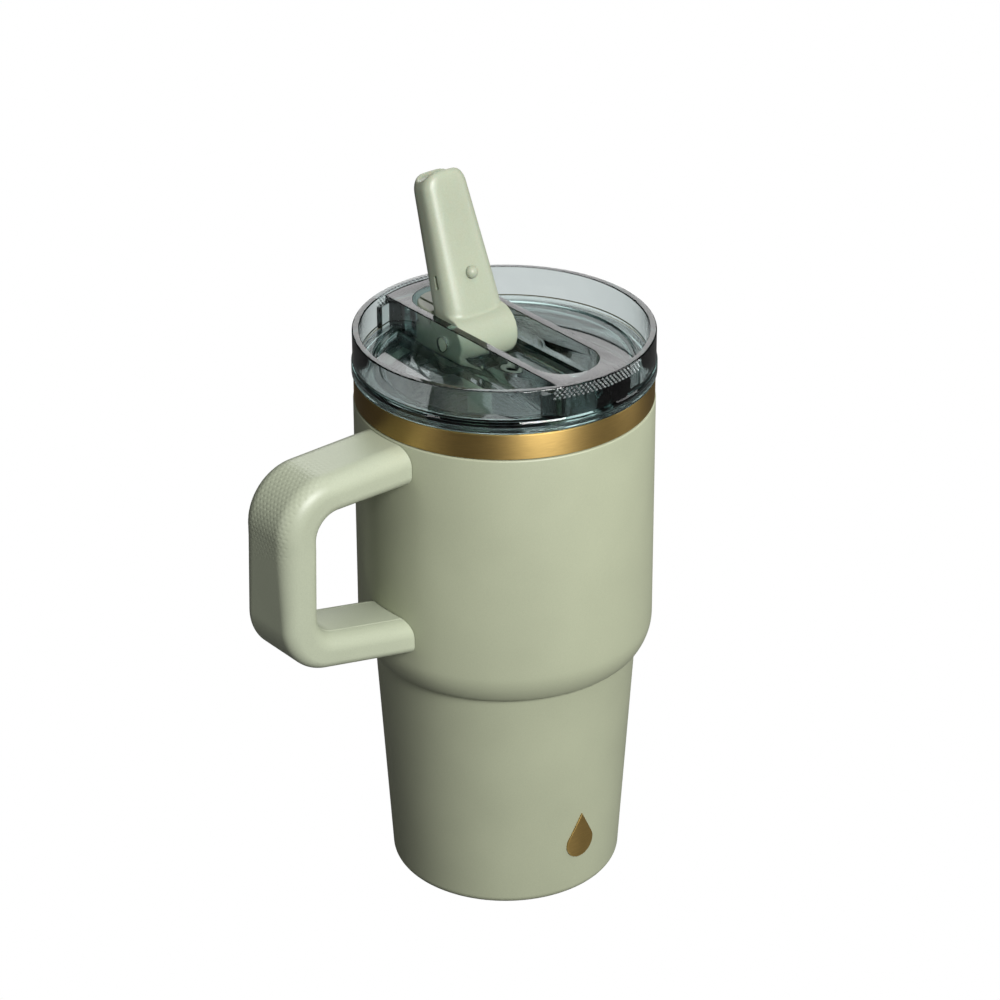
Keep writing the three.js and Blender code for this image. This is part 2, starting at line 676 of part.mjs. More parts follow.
// The fixed block behind the barrel: it fills the back of the slot and stops the open spout.
function spoutSeat() {
  const margin = 1.3;
  const block = prism(
    stadium(SLOT_HALF - margin, SLOT_END - margin),
    SLOT_FLOOR + GAP,
    BRIDGE_TOP - 0.7,
  );
  const behind = box(-SLOT_HALF, SLOT_HALF, PIVOT_Y + 3, SLOT_END, SLOT_FLOOR, HEIGHT);
  const openSpout = box(-2 * SLOT_HALF, 2 * SLOT_HALF, -20, 7.3, -20, 20)
    .rotate([-THREE.MathUtils.radToDeg(SPOUT_LEAN), 0, 0])
    .translate([0, PIVOT_Y, PIVOT_Z]);
  const barrelRoom = axle(BARREL_RADIUS + RUN, 2 * SLOT_HALF, PIVOT_Y, PIVOT_Z);
  return cut(block.intersect(behind), barrelRoom, openSpout);
}

// The soft ring under the barrel, hollowed on top to the barrel's roundness.
const barrelSeal = () =>
  cut(
    post(SEAL_RADIUS, SEAL_BOTTOM, PIVOT_Z - BARREL_RADIUS + 1.2, PIVOT_Y),
    axle(BARREL_RADIUS + GAP, 2 * SLOT_HALF, PIVOT_Y, PIVOT_Z),
    post(BORE_RADIUS, SEAL_BOTTOM - 1, PIVOT_Z, PIVOT_Y),
  );

// The soft ring in the floor of the slot that the spout's nub plugs when it is folded down.
const ventSeal = () =>
  cut(
    post(GROMMET_RADIUS, SLOT_FLOOR - 1.2, SLOT_FLOOR, VENT_Y),
    post(NUB_RADIUS + GAP, SLOT_FLOOR - 3, SLOT_FLOOR + 1, VENT_Y),
  );

function straw() {
  const wall = 0.65;
  const bottom = CUP_FLOOR + 5;
  return ring(STRAW_RADIUS, STRAW_RADIUS - wall, bottom, BOSS_BOTTOM - GAP, FINE);
}

// ---- Assembly ----

const cup = new THREE.Group();
cup.add(
  piece("outer_shell", outerShell(), 0xa8ab95, 0.6, 0.1),
  piece("inner_liner", innerLiner(), 0xc0c2c4, 0.3, 1),
  piece("base_plate", basePlate(), 0xb5b7b9, 0.35, 1),
  piece("vacuum_seal", vacuumSeal(), 0x8f9194, 0.5, 1),
  piece("getter", getter(), 0x6f6f72, 0.7, 0.8),
  piece("base_pad", basePad(), 0x6d7064, 0.85, 0),
  piece("rim_band", rimBand(), 0x9e804a, 0.3, 1),
  piece("emblem", emblem(), 0x9e804a, 0.35, 1),
);

const handle = new THREE.Group();
handle.add(
  piece("handle_shell", handleShell(), 0xb6bba6, 0.5, 0),
  piece("handle_cover", handleCover(), 0xa7ab99, 0.6, 0),
  piece("upper_bracket", cut(onUpperArm(tongue()), bodyRoom()), 0xb5b7b9, 0.35, 1),
  piece("lower_bracket", cut(onLowerArm(tongue()), bodyRoom()), 0xb5b7b9, 0.35, 1),
  piece("upper_screw", onUpperArm(handleScrew()), 0xa0a2a5, 0.3, 1),
  piece("lower_screw", onLowerArm(handleScrew()), 0xa0a2a5, 0.3, 1),
);

const lid = new THREE.Group();
const spoutMesh = piece("spout", spout(), 0xcdd4be, 0.4, 0);
spoutMesh.position.set(0, PIVOT_Y, PIVOT_Z);
spoutMesh.rotation.x = -SPOUT_LEAN;
lid.add(
  piece("lid_body", lidBody(), 0x3c4a4a, 0.08, 0),
  piece("lid_gasket", lidGasket(), 0xb9bcb6, 0.7, 0),
  spoutMesh,
  piece("spout_seat", spoutSeat(), 0x9aa08a, 0.45, 0),
  piece("barrel_seal", barrelSeal(), 0xd2d6cb, 0.7, 0),
  piece("vent_seal", ventSeal(), 0xd2d6cb, 0.7, 0),
  piece("straw", straw().translate([0, PIVOT_Y, 0]), 0xc3c9b4, 0.35, 0),
);

const tumbler = new THREE.Group();
tumbler.add(cup, handle, lid);

export default tumbler;
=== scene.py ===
# Insulated steel tumbler with a side handle, a smoky clear lid and a flip-up drinking spout.
# Metres, +Z up, the origin at the centre of the base. The handle points to -X, the bridge of the
# lid runs along Y, and the spout folds down towards -Y about a hinge that lies along X.
import math

import bmesh
import bpy
from mathutils import Matrix, Vector


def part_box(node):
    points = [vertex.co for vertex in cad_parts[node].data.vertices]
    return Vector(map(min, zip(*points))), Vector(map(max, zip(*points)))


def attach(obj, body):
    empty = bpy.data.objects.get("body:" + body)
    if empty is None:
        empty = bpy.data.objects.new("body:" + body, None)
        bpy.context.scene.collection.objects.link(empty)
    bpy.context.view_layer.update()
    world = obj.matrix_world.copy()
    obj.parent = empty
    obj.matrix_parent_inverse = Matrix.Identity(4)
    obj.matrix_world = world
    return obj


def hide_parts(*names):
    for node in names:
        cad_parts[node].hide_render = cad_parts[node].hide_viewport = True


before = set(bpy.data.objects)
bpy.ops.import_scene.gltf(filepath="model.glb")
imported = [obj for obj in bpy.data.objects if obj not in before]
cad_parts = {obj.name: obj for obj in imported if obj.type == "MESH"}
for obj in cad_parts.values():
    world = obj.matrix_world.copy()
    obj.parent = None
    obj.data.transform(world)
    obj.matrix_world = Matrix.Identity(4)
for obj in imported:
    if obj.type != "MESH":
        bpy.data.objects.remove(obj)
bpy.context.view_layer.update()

# ---------------------------------------------------------------------------
# Outer shell. The painted steel outside of the double wall: a spun cup with a
# straight upper body, a rounded shoulder and a slim lower body that fits a cup
# holder, open at the foot and stepped in at the neck to take the brass band.
# ---------------------------------------------------------------------------

MM = 0.001
BODY_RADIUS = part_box("outer_shell")[1].x
LID_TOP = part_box("lid_body")[1].z
CUP_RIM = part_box("inner_liner")[1].z
BAND_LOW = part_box("rim_band")[0].z
SHOULDER_TOP = 0.478 * LID_TOP
SHOULDER_RADIUS = 0.335 * BODY_RADIUS
SHOULDER_FOOT_RADIUS = 4.2 * MM
SHOULDER_TURN = 33
CONE_TOP_RADIUS = 0.89 * BODY_RADIUS
BASE_RADIUS = 0.784 * BODY_RADIUS
SHELL_BOTTOM = 0.5 * MM
NECK_RADIUS = BODY_RADIUS - 1.3 * MM


def arc(centre_x, centre_y, radius, start, end, steps):
    """Points of an arc from one angle to another, in degrees, both ends included."""
    turns = [math.radians(start + (end - start) * i / steps) for i in range(steps + 1)]
    return [(centre_x + radius * math.cos(t), centre_y + radius * math.sin(t)) for t in turns]


def rounded(corners, steps=6):
    """A path through corners (x, y, radius), each rounded by its own radius; the ends stay sharp."""
    path = []
    for i, (x, y, radius) in enumerate(corners):
        corner = Vector((x, y))
        if not radius or i in (0, len(corners) - 1):
            path.append((x, y))
            continue
        back = (Vector(corners[i - 1][:2]) - corner).normalized()
        onward = (Vector(corners[i + 1][:2]) - corner).normalized()
        half = back.angle(onward) / 2
        centre = corner + (back + onward).normalized() * (radius / math.sin(half))
        first = corner + back * (radius / math.tan(half)) - centre
        last = corner + onward * (radius / math.tan(half)) - centre
        for step in range(steps + 1):
            point = centre + first.slerp(last, step / steps) * first.length
            path.append((point.x, point.y))
    return path


def add_object(name, form, material, sharp=35.0):
    """A named object from a bmesh, smooth except along edges sharper than an angle in degrees."""
    bmesh.ops.remove_doubles(form, verts=form.verts, dist=1e-7)
    bmesh.ops.dissolve_degenerate(form, edges=form.edges, dist=1e-8)
    bmesh.ops.recalc_face_normals(form, faces=form.faces)
    mesh = bpy.data.meshes.new(name)
    form.to_mesh(mesh)
    form.free()
    soften(mesh, sharp)
    thing = bpy.data.objects.new(name, mesh)
    bpy.context.scene.collection.objects.link(thing)
    mesh.materials.append(material)
    return thing


def soften(mesh, sharp):
    """Smooth shading, with edges left crisp where two faces meet at more than an angle."""
    mesh.polygons.foreach_set("use_smooth", [True] * len(mesh.polygons))
    mesh.set_sharp_from_angle(angle=math.radians(sharp))


def turned_form(profile, steps=180, centre=(0, 0)):
    """A form turned about Z from (radius, height) points that end on the axis or where they began."""
    form = bmesh.new()
    rings = []
    for i in range(steps):
        turn = 2 * math.pi * i / steps
        x, y = math.cos(turn), math.sin(turn)
        rings.append([form.verts.new((centre[0] + r * x, centre[1] + r * y, z)) for r, z in profile])
    for i in range(steps):
        near, far = rings[i], rings[(i + 1) % steps]
        for j in range(len(profile) - 1):
            form.faces.new((near[j], far[j], far[j + 1], near[j + 1]))
    bmesh.ops.remove_doubles(form, verts=form.verts, dist=1e-7)
    bmesh.ops.dissolve_degenerate(form, edges=form.edges, dist=1e-8)
    return form


def adder(tree):
    """A function that adds a node to a tree, with its settings and with its inputs linked or set."""
    def add(kind, inputs=None, **settings):
        node = tree.nodes.new(kind)
        for key, value in settings.items():
            setattr(node, key, value)
        for key, value in (inputs or {}).items():
            if isinstance(value, bpy.types.NodeSocket):
                tree.links.new(value, node.inputs[key])
            else:
                node.inputs[key].default_value = value
        return node

    return add


def nodes_of(name):
    """A new material's parts: (material, add, link, principled)."""
    material = bpy.data.materials.new(name)
    material.use_nodes = True
    tree = material.node_tree
    return material, adder(tree), tree.links.new, tree.nodes["Principled BSDF"]


def calc(add, operation, first, second=0.0, third=0.0):
    """One sum on two or three values."""
    return add("ShaderNodeMath", {0: first, 1: second, 2: third}, operation=operation).outputs[0]


def two_tone(add, factor, first, second):
    """A colour that moves between two tones over the middle of a value's range."""
    ramp = add("ShaderNodeValToRGB", {"Fac": factor})
    ramp.color_ramp.elements[0].position = 0.35
    ramp.color_ramp.elements[1].position = 0.65
    ramp.color_ramp.elements[0].color = (*first, 1)
    ramp.color_ramp.elements[1].color = (*second, 1)
    return ramp.outputs["Color"]


def spread(add, value, low, high):
    """A value from 0 to 1 stretched between two numbers."""
    return add("ShaderNodeMapRange", {"Value": value, "To Min": low, "To Max": high}).outputs["Result"]


def coated(name, colour, roughness, grain, depth, sheen=0.0):
    """A coating or moulded skin: fine grain in the surface, faint mottling in colour and gloss."""
    material, add, link, shader = nodes_of(name)
    place = add("ShaderNodeTexCoord").outputs["Object"]
    fine = add("ShaderNodeTexNoise", {"Vector": place, "Scale": grain, "Detail": 3.0}).outputs["Fac"]
    broad = add("ShaderNodeTexNoise", {"Vector": place, "Scale": 35.0, "Detail": 2.0}).outputs["Fac"]
    mixed = calc(add, "MULTIPLY", calc(add, "ADD", fine, broad), 0.5)
    darker = tuple(c * 0.93 for c in colour)
    lighter = tuple(min(1, c * 1.05) for c in colour)
    link(two_tone(add, mixed, darker, lighter), shader.inputs["Base Color"])
    link(spread(add, broad, roughness - 0.04, roughness + 0.05), shader.inputs["Roughness"])
    bump = add("ShaderNodeBump", {"Height": fine, "Strength": 0.35, "Distance": depth})
    link(bump.outputs["Normal"], shader.inputs["Normal"])
    shader.inputs["Sheen Weight"].default_value = sheen
    return material


powder_coat = coated("powder_coat", (0.392, 0.420, 0.290), 0.48, 3200.0, 0.05 * MM)
powder_coat.node_tree.nodes["Principled BSDF"].inputs["Specular IOR Level"].default_value = 0.85


def body_side(inset):
    """The shoulder moved in by an inset: a tight turn over the lower body, then an easy one."""
    easy, tight = SHOULDER_RADIUS, SHOULDER_FOOT_RADIUS
    middle = BODY_RADIUS - easy
    turn = math.radians(SHOULDER_TURN)
    near = middle + (easy - tight) * math.cos(turn)
    low = SHOULDER_TOP - (easy - tight) * math.sin(turn)
    end = math.degrees(math.acos((CONE_TOP_RADIUS - near) / tight))
    foot = arc(near, low, tight - inset, -end, -SHOULDER_TURN, 10)
    return foot[:-1] + arc(middle, SHOULDER_TOP, easy - inset, -SHOULDER_TURN, 0, 14)


def shell_profile():
    """The shell's section, from the foot up the outside, over the neck and down the inside."""
    wall = 1.0 * MM
    foot = BASE_RADIUS - 5.0 * MM
    neck = NECK_RADIUS
    step = BAND_LOW - 0.3 * MM
    side = body_side(0)
    low, corner = side[0]
    outside = rounded([
        (foot, SHELL_BOTTOM, 0),
        (BASE_RADIUS, SHELL_BOTTOM, 2.9 * MM),
        (low, corner, 0),
    ], 10)[:-1]
    crease = rounded([
        (BASE_RADIUS, SHELL_BOTTOM, 0),
        (low, corner, 0.6 * MM),
        side[4] + (0,),
    ], 6)[1:-1]
    neck_part = rounded([
        (BODY_RADIUS, SHOULDER_TOP + 1 * MM, 0),
        (BODY_RADIUS, step, 0.5 * MM),
        (neck, step, 0),
        (neck, CUP_RIM - wall, 0),
        (neck - wall, CUP_RIM - wall, 0),
        (neck - wall, step - wall, 0),
        (BODY_RADIUS - wall, step - wall, 0),
    ], 4)
    inside = body_side(wall)[::-1]
    foot_inside = [(BASE_RADIUS - wall, SHELL_BOTTOM + 3.5 * MM), (foot, SHELL_BOTTOM + wall)]
    return outside + crease + side[5:] + neck_part + inside + foot_inside + [(foot, SHELL_BOTTOM)]


outer_shell = add_object("painted_shell", turned_form(shell_profile(), 256), powder_coat, 40)
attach(outer_shell, "cup")
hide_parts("outer_shell")

# ---------------------------------------------------------------------------
# Inner liner. The bare stainless inner cup, brushed round its axis. Its lip is
# rolled out over the shell's neck and welded, and three lugs pressed inwards
# under the lip take the lid's lugs.
# ---------------------------------------------------------------------------


def turned_metal(name, colour, roughness, streak=9000.0, anisotropy=0.7, tone=0.1):
    """Metal brushed round the cup's axis: long fine scratches that run round it."""
    material, add, link, shader = nodes_of(name)
    parts = add("ShaderNodeSeparateXYZ", {0: add("ShaderNodeTexCoord").outputs["Object"]})
    x, y, z = parts.outputs
    round_turn = calc(add, "MULTIPLY", calc(add, "ARCTAN2", y, x), 0.0009)
    squares = calc(add, "ADD", calc(add, "POWER", x, 2.0), calc(add, "POWER", y, 2.0))
    radius = calc(add, "POWER", squares, 0.5)
    lay = add("ShaderNodeCombineXYZ", {"X": round_turn, "Y": radius, "Z": z}).outputs[0]
    hair = add("ShaderNodeTexNoise", {"Vector": lay, "Scale": streak, "Detail": 2.0}).outputs["Fac"]
    haze = add("ShaderNodeTexNoise", {"Vector": lay, "Scale": 0.12 * streak, "Detail": 2.0}).outputs["Fac"]
    level = calc(add, "MULTIPLY_ADD", haze, 0.15, calc(add, "MULTIPLY", hair, 0.85))
    darker = tuple(c * (1 - tone) for c in colour)
    lighter = tuple(min(1, c * (1 + tone)) for c in colour)
    link(two_tone(add, level, darker, lighter), shader.inputs["Base Color"])
    link(spread(add, level, roughness - 0.04, roughness + 0.05), shader.inputs["Roughness"])
    bump = add("ShaderNodeBump", {"Height": hair, "Strength": 0.18, "Distance": 0.02 * MM})
    link(bump.outputs["Normal"], shader.inputs["Normal"])
    round_way = add("ShaderNodeCombineXYZ", {"X": calc(add, "MULTIPLY", y, -1.0), "Y": x}).outputs[0]
    link(round_way, shader.inputs["Tangent"])
    shader.inputs["Metallic"].default_value = 1.0
    shader.inputs["Anisotropic"].default_value = anisotropy
    shader.inputs["Anisotropic Rotation"].default_value = 0.25
    return material


brushed_steel = turned_metal("brushed_steel", (0.56, 0.565, 0.57), 0.27)
LINER_RADIUS = BODY_RADIUS - 2.6 * MM
MOUTH_RADIUS = LINER_RADIUS - 0.8 * MM


def liner_profile():
    """The inner cup's section, from its floor up the outside, over the lip and down to the floor."""
    floor = 8.8 * MM
    low = BASE_RADIUS - 3.0 * MM
    outer, inner = body_side(2.6 * MM), body_side(3.4 * MM)[::-1]
    lip = rounded([
        outer[-1] + (0,),
        (LINER_RADIUS, CUP_RIM - 0.8 * MM, 0),
        (NECK_RADIUS, CUP_RIM - 0.8 * MM, 0.3 * MM),
        (NECK_RADIUS, CUP_RIM, 0.35 * MM),
        (MOUTH_RADIUS, CUP_RIM, 0.7 * MM),
        (MOUTH_RADIUS, SHOULDER_TOP + 2 * MM, 0),
    ], 4)
    under = floor - 0.8 * MM
    bottom_out = rounded([(0, under, 0), (low, under, 7 * MM), outer[0] + (0,)], 8)
    bottom_in = rounded([inner[-1] + (0,), (low - 0.8 * MM, floor, 6.2 * MM), (0, floor, 0)], 8)
    return bottom_out[:-1] + outer[:-1] + lip + inner + bottom_in[1:]


def sector_form(inner, outer, low, high, middle, width, steps=24):
    """A stretch of a ring, centred on an angle and so many degrees wide."""
    form = bmesh.new()
    section = [(inner, low), (outer, low), (outer, high), (inner, high)]
    rows = []
    for i in range(steps + 1):
        turn = math.radians(middle - width / 2 + width * i / steps)
        x, y = math.cos(turn), math.sin(turn)
        rows.append([form.verts.new((r * x, r * y, z)) for r, z in section])
    for near, far in zip(rows, rows[1:]):
        for j in range(len(section)):
            k = (j + 1) % len(section)
            form.faces.new((near[j], far[j], far[k], near[k]))
    form.faces.new(rows[0])
    form.faces.new(reversed(rows[-1]))
    return form


def combine(thing, form, operation, sharp=35.0):
    """Joins, cuts or intersects an object with a closed form, keeping the result as plain mesh."""
    tool = add_object("tool", form, thing.data.materials[0])
    modifier = thing.modifiers.new("combine", "BOOLEAN")
    modifier.operation = operation
    modifier.solver = "MANIFOLD"
    modifier.object = tool
    settle(thing, sharp)
    bpy.data.objects.remove(tool)


def settle(thing, sharp=35.0):
    """Turns an object's modifiers into plain mesh."""
    graph = bpy.context.evaluated_depsgraph_get()
    mesh = bpy.data.meshes.new_from_object(thing.evaluated_get(graph))
    thing.modifiers.clear()
    thing.data = mesh
    mesh.name = thing.name
    soften(mesh, sharp)


inner_liner = add_object("steel_liner", turned_form(liner_profile()), brushed_steel, 40)
LUG_LOW = CUP_RIM - 9.9 * MM
for turn in (60, 180, 300):
    inner, outer = MOUTH_RADIUS - 0.85 * MM, MOUTH_RADIUS + 0.4 * MM
    lug = sector_form(inner, outer, LUG_LOW, LUG_LOW + 2 * MM, turn, 34)
    combine(inner_liner, lug, "UNION", 40)
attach(inner_liner, "cup")
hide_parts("inner_liner")

# ---------------------------------------------------------------------------
# Foot. A steel disc welded into the foot of the shell holds the vacuum, with
# the sealed evacuation point in its dimple and the getter above it. A soft pad
# with concentric grooves covers it and is what the tumbler stands on.
# ---------------------------------------------------------------------------

pad_rubber = coated("pad_rubber", (0.060, 0.065, 0.052), 0.72, 2400.0, 0.08 * MM)
PAD_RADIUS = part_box("base_pad")[1].x
PAD_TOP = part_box("base_pad")[1].z


def pad_profile():
    """The pad's section: flat underneath, with three shallow grooves near its edge."""
    groove, depth = 0.7 * MM, 0.5 * MM
    points = [(0, 0)]
    for radius in (12 * MM, 20 * MM, 25 * MM):
        for across, up in ((-groove, 0), (-groove / 2, depth), (groove / 2, depth), (groove, 0)):
            points.append((radius + across, up))
    points += arc(PAD_RADIUS - 0.8 * MM, 0.8 * MM, 0.8 * MM, -90, 0, 5)
    return points + [(PAD_RADIUS, PAD_TOP), (0, PAD_TOP)]


base_pad = add_object("foot_pad", turned_form(pad_profile(), 128), pad_rubber, 30)
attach(base_pad, "cup")
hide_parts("base_pad")


def brush_nodes(names):
    """Gives the frame's own nodes the brushed steel."""
    for name in names:
        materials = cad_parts[name].data.materials
        materials.clear()
        materials.append(brushed_steel)


brush_nodes(("base_plate", "vacuum_seal", "getter"))

# ---------------------------------------------------------------------------
# Rim band. A thin brass-coloured ring pressed over the shell's neck, brushed
# round the cup, with small rolled edges that catch the light.
# ---------------------------------------------------------------------------

brushed_brass = turned_metal("brushed_brass", (0.49, 0.335, 0.115), 0.52, 14000.0, 0.80, 0.10)
BAND_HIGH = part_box("rim_band")[1].z
BAND_MIDDLE = (BAND_LOW + BAND_HIGH) / 2
BAND_RADIUS = BODY_RADIUS - 0.2 * MM
BAND_INNER = BAND_RADIUS - 0.8 * MM

band_section = rounded([
    (BAND_INNER, BAND_MIDDLE, 0),
    (BAND_INNER, BAND_LOW, 0),
    (BAND_RADIUS, BAND_LOW, 0.3 * MM),
    (BAND_RADIUS, BAND_HIGH, 0.3 * MM),
    (BAND_INNER, BAND_HIGH, 0),
    (BAND_INNER, BAND_MIDDLE, 0),
], 5)
rim_band = add_object("brass_band", turned_form(band_section, 256), brushed_brass, 50)
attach(rim_band, "cup")
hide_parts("rim_band")

# ---------------------------------------------------------------------------
# Emblem. A plain water drop of thin brushed brass, bent to the lower body and
# bonded on, low on the front.
# ---------------------------------------------------------------------------

EMBLEM_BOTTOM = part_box("emblem")[0].z


def drop_outline(radius, tip, steps):
    """Points round a drop: a round bottom whose tangents meet in a point at the top."""
    lean = math.degrees(math.acos(radius / tip))
    round_part = arc(0, 0, radius, 90 + lean, 450 - lean, steps)
    start, end = round_part[-1], round_part[0]
    rise = [(start[0] * (1 - t), start[1] + (tip - start[1]) * t) for t in (0.33, 0.66)]
    fall = [(end[0] * t, tip + (end[1] - tip) * t) for t in (0.33, 0.66)]
    return round_part + rise + [(0, tip)] + fall


def emblem_form():
    """A thin plate of the drop's outline with an eased edge, laid on the tapered body."""
    radius = 5.0 * MM
    outline = drop_outline(radius, 10.6 * MM, 48)
    middle = EMBLEM_BOTTOM + radius
    slope = (body_side(0)[0][0] - BASE_RADIUS) / body_side(0)[0][1]
    rings = [(1.0, 0.05), (1.0, 0.40), (0.97, 0.50), (0.6, 0.50), (0.3, 0.50)]
    form = bmesh.new()

    def on_body(x, z, lift):
        height = middle + z
        reach = BASE_RADIUS + slope * height + lift * MM
        turn = x / reach
        return form.verts.new((reach * math.sin(turn), -reach * math.cos(turn), height))

    rows = [[on_body(x * size, z * size, lift) for x, z in outline] for size, lift in rings]
    for near, far in zip(rows, rows[1:]):
        for j in range(len(outline)):
            k = (j + 1) % len(outline)
            form.faces.new((near[j], near[k], far[k], far[j]))
    for row, lift in ((rows[0], 0.05), (rows[-1], 0.50)):
        hub = on_body(0, 0, lift)
        for j in range(len(outline)):
            form.faces.new((row[j], row[(j + 1) % len(outline)], hub))
    return form


emblem = add_object("drop_emblem", emblem_form(), brushed_brass, 25)
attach(emblem, "cup")
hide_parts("emblem")

# ---------------------------------------------------------------------------
# Handle shell. The outer moulding of the grip, with soft edges and a patch of
# fine dimples for the fingertips. Its arms butt against the cup round two steel
# tongues, and a channel in its finger side takes the cover.
# ---------------------------------------------------------------------------

GRIP_OUTSIDE = -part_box("handle_shell")[0].x
GRIP_INSIDE = GRIP_OUTSIDE - 11.8 * MM
HANDLE_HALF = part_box("handle_shell")[1].y
ARM_ROOT = BODY_RADIUS - 8 * MM
UPPER_ARM_TOP = BAND_LOW - 0.9 * MM
UPPER_ARM_BOTTOM = UPPER_ARM_TOP - 12 * MM
LOWER_ARM_BOTTOM = SHOULDER_TOP + 3.8 * MM
LOWER_ARM_TOP = LOWER_ARM_BOTTOM + 10.5 * MM
UPPER_FALL = -0.03
LOWER_RISE = 0.2
DIMPLES_FROM = 61 * MM
DIMPLES_TO = UPPER_ARM_TOP - 25 * MM
DIMPLE_RUN = DIMPLES_FROM - ARM_ROOT


def along(height, slope, radius):
    """Height of a line that leaves the body's side at a height and a slope."""
    return height + slope * (radius - BODY_RADIUS)


def handle_side(upper, outward, lower, upper_bend, lower_bend, shift=0.0):
    """One side of the handle's outline, from the upper root round to the lower root."""
    middle = DIMPLES_TO
    top = rounded([
        (ARM_ROOT, upper(ARM_ROOT) + shift, 0),
        (DIMPLES_FROM, upper(DIMPLES_FROM) + shift, 0),
        (outward + shift, upper(outward) + shift, upper_bend + shift),
        (outward + shift, middle, 0),
    ], 104)
    bottom = rounded([
        (outward + shift, middle, 0),
        (outward + shift, lower(outward) - shift, lower_bend + shift),
        (ARM_ROOT, lower(ARM_ROOT) - shift, 0),
    ], 28)
    return top[:-1] + bottom


def finger_side(shift=0.0):
    """The finger side of the handle, moved into the plastic by a shift."""
    def lower(radius):
        return along(LOWER_ARM_TOP, LOWER_RISE, radius)

    return handle_side(lambda r: UPPER_ARM_BOTTOM, GRIP_INSIDE, lower, 7.5 * MM, 8 * MM, shift)


def outer_side():
    """The outer side of the handle."""
    def upper(radius):
        return along(UPPER_ARM_TOP, UPPER_FALL, radius)

    def lower(radius):
        return along(LOWER_ARM_BOTTOM, LOWER_RISE, radius)

    return handle_side(upper, GRIP_OUTSIDE, lower, 16.5 * MM, 16 * MM)


def rungs_between(near, far, fine=0.0):
    """Matching points of two sides with the run along the far one, close together where it is dimpled."""
    first, last = DIMPLE_RUN, DIMPLE_RUN + 48 * MM
    rungs = [(Vector(near[0]), Vector(far[0]), 0.0)]
    for k in range(1, len(near)):
        here_near, here_far, run = rungs[-1]
        next_near, next_far = Vector(near[k]), Vector(far[k])
        length = (next_far - here_far).length
        dimpled = fine and run > first - 1 * MM and run < last
        count = max(1, round(length / (fine if dimpled else 5 * MM)))
        for i in range(1, count + 1):
            share = i / count
            on_near, on_far = here_near.lerp(next_near, share), here_far.lerp(next_far, share)
            rungs.append((on_near, on_far, run + length * i / count))
    return rungs


def ladder_form(rungs, section_at, mark=None):
    """A closed bar through the rungs; section_at(run) gives (across, share from near to far) points."""
    form = bmesh.new()
    run_layer = form.verts.layers.float.new("run") if mark else None
    rows = []
    for near, far, run in rungs:
        row = []
        for across, share in section_at(run):
            place = near.lerp(far, share)
            vert = form.verts.new((-place.x, across, place.y))
            if mark:
                vert[run_layer] = run if share > mark else -1.0
            row.append(vert)
        rows.append(row)
    for near_row, far_row in zip(rows, rows[1:]):
        for j in range(len(near_row)):
            k = (j + 1) % len(near_row)
            form.faces.new((near_row[j], far_row[j], far_row[k], near_row[k]))
    form.faces.new(rows[0])
    form.faces.new(reversed(rows[-1]))
    return form


def grip_section(run):
    """The grip's section at a run: edges that face up are generous, edges that face down tighter."""
    depth = 12 * MM
    lower = min(1.0, max(0.0, (run - DIMPLE_RUN - 40 * MM) / (40 * MM)))
    outer_edge = (5.8 - 2.6 * lower) * MM
    finger_edge = (3.6 + 2.0 * lower) * MM
    flat = HANDLE_HALF - outer_edge
    across = [(-flat + 2 * flat * i / 44, 1.0) for i in range(1, 44)]
    outer_corner = arc(flat, depth - outer_edge, outer_edge, 90, 0, 26)
    finger_corner = arc(HANDLE_HALF - finger_edge, finger_edge, finger_edge, 0, -90, 14)
    right = [(x, y / depth) for x, y in outer_corner + finger_corner]
    left = [(-x, y) for x, y in reversed(right)]
    return across + right + left


def tree_of(name, inputs):
    """A Geometry Nodes tree with named inputs: (tree, add, input sockets, identifiers by name)."""
    tree = bpy.data.node_groups.new(name, "GeometryNodeTree")
    tree.interface.new_socket("Geometry", in_out="INPUT", socket_type="NodeSocketGeometry")
    identifiers = {}
    for label, kind in inputs.items():
        identifiers[label] = tree.interface.new_socket(label, in_out="INPUT", socket_type=kind).identifier
    tree.interface.new_socket("Geometry", in_out="OUTPUT", socket_type="NodeSocketGeometry")
    add = adder(tree)
    return tree, add, add("NodeGroupInput").outputs, identifiers


def run_tree(thing, tree, identifiers, values, sharp=35.0):
    """Runs a Geometry Nodes tree on an object with these input values and keeps the plain mesh."""
    modifier = thing.modifiers.new(tree.name, "NODES")
    modifier.node_group = tree
    for label, value in values.items():
        modifier[identifiers[label]] = value
    settle(thing, sharp)


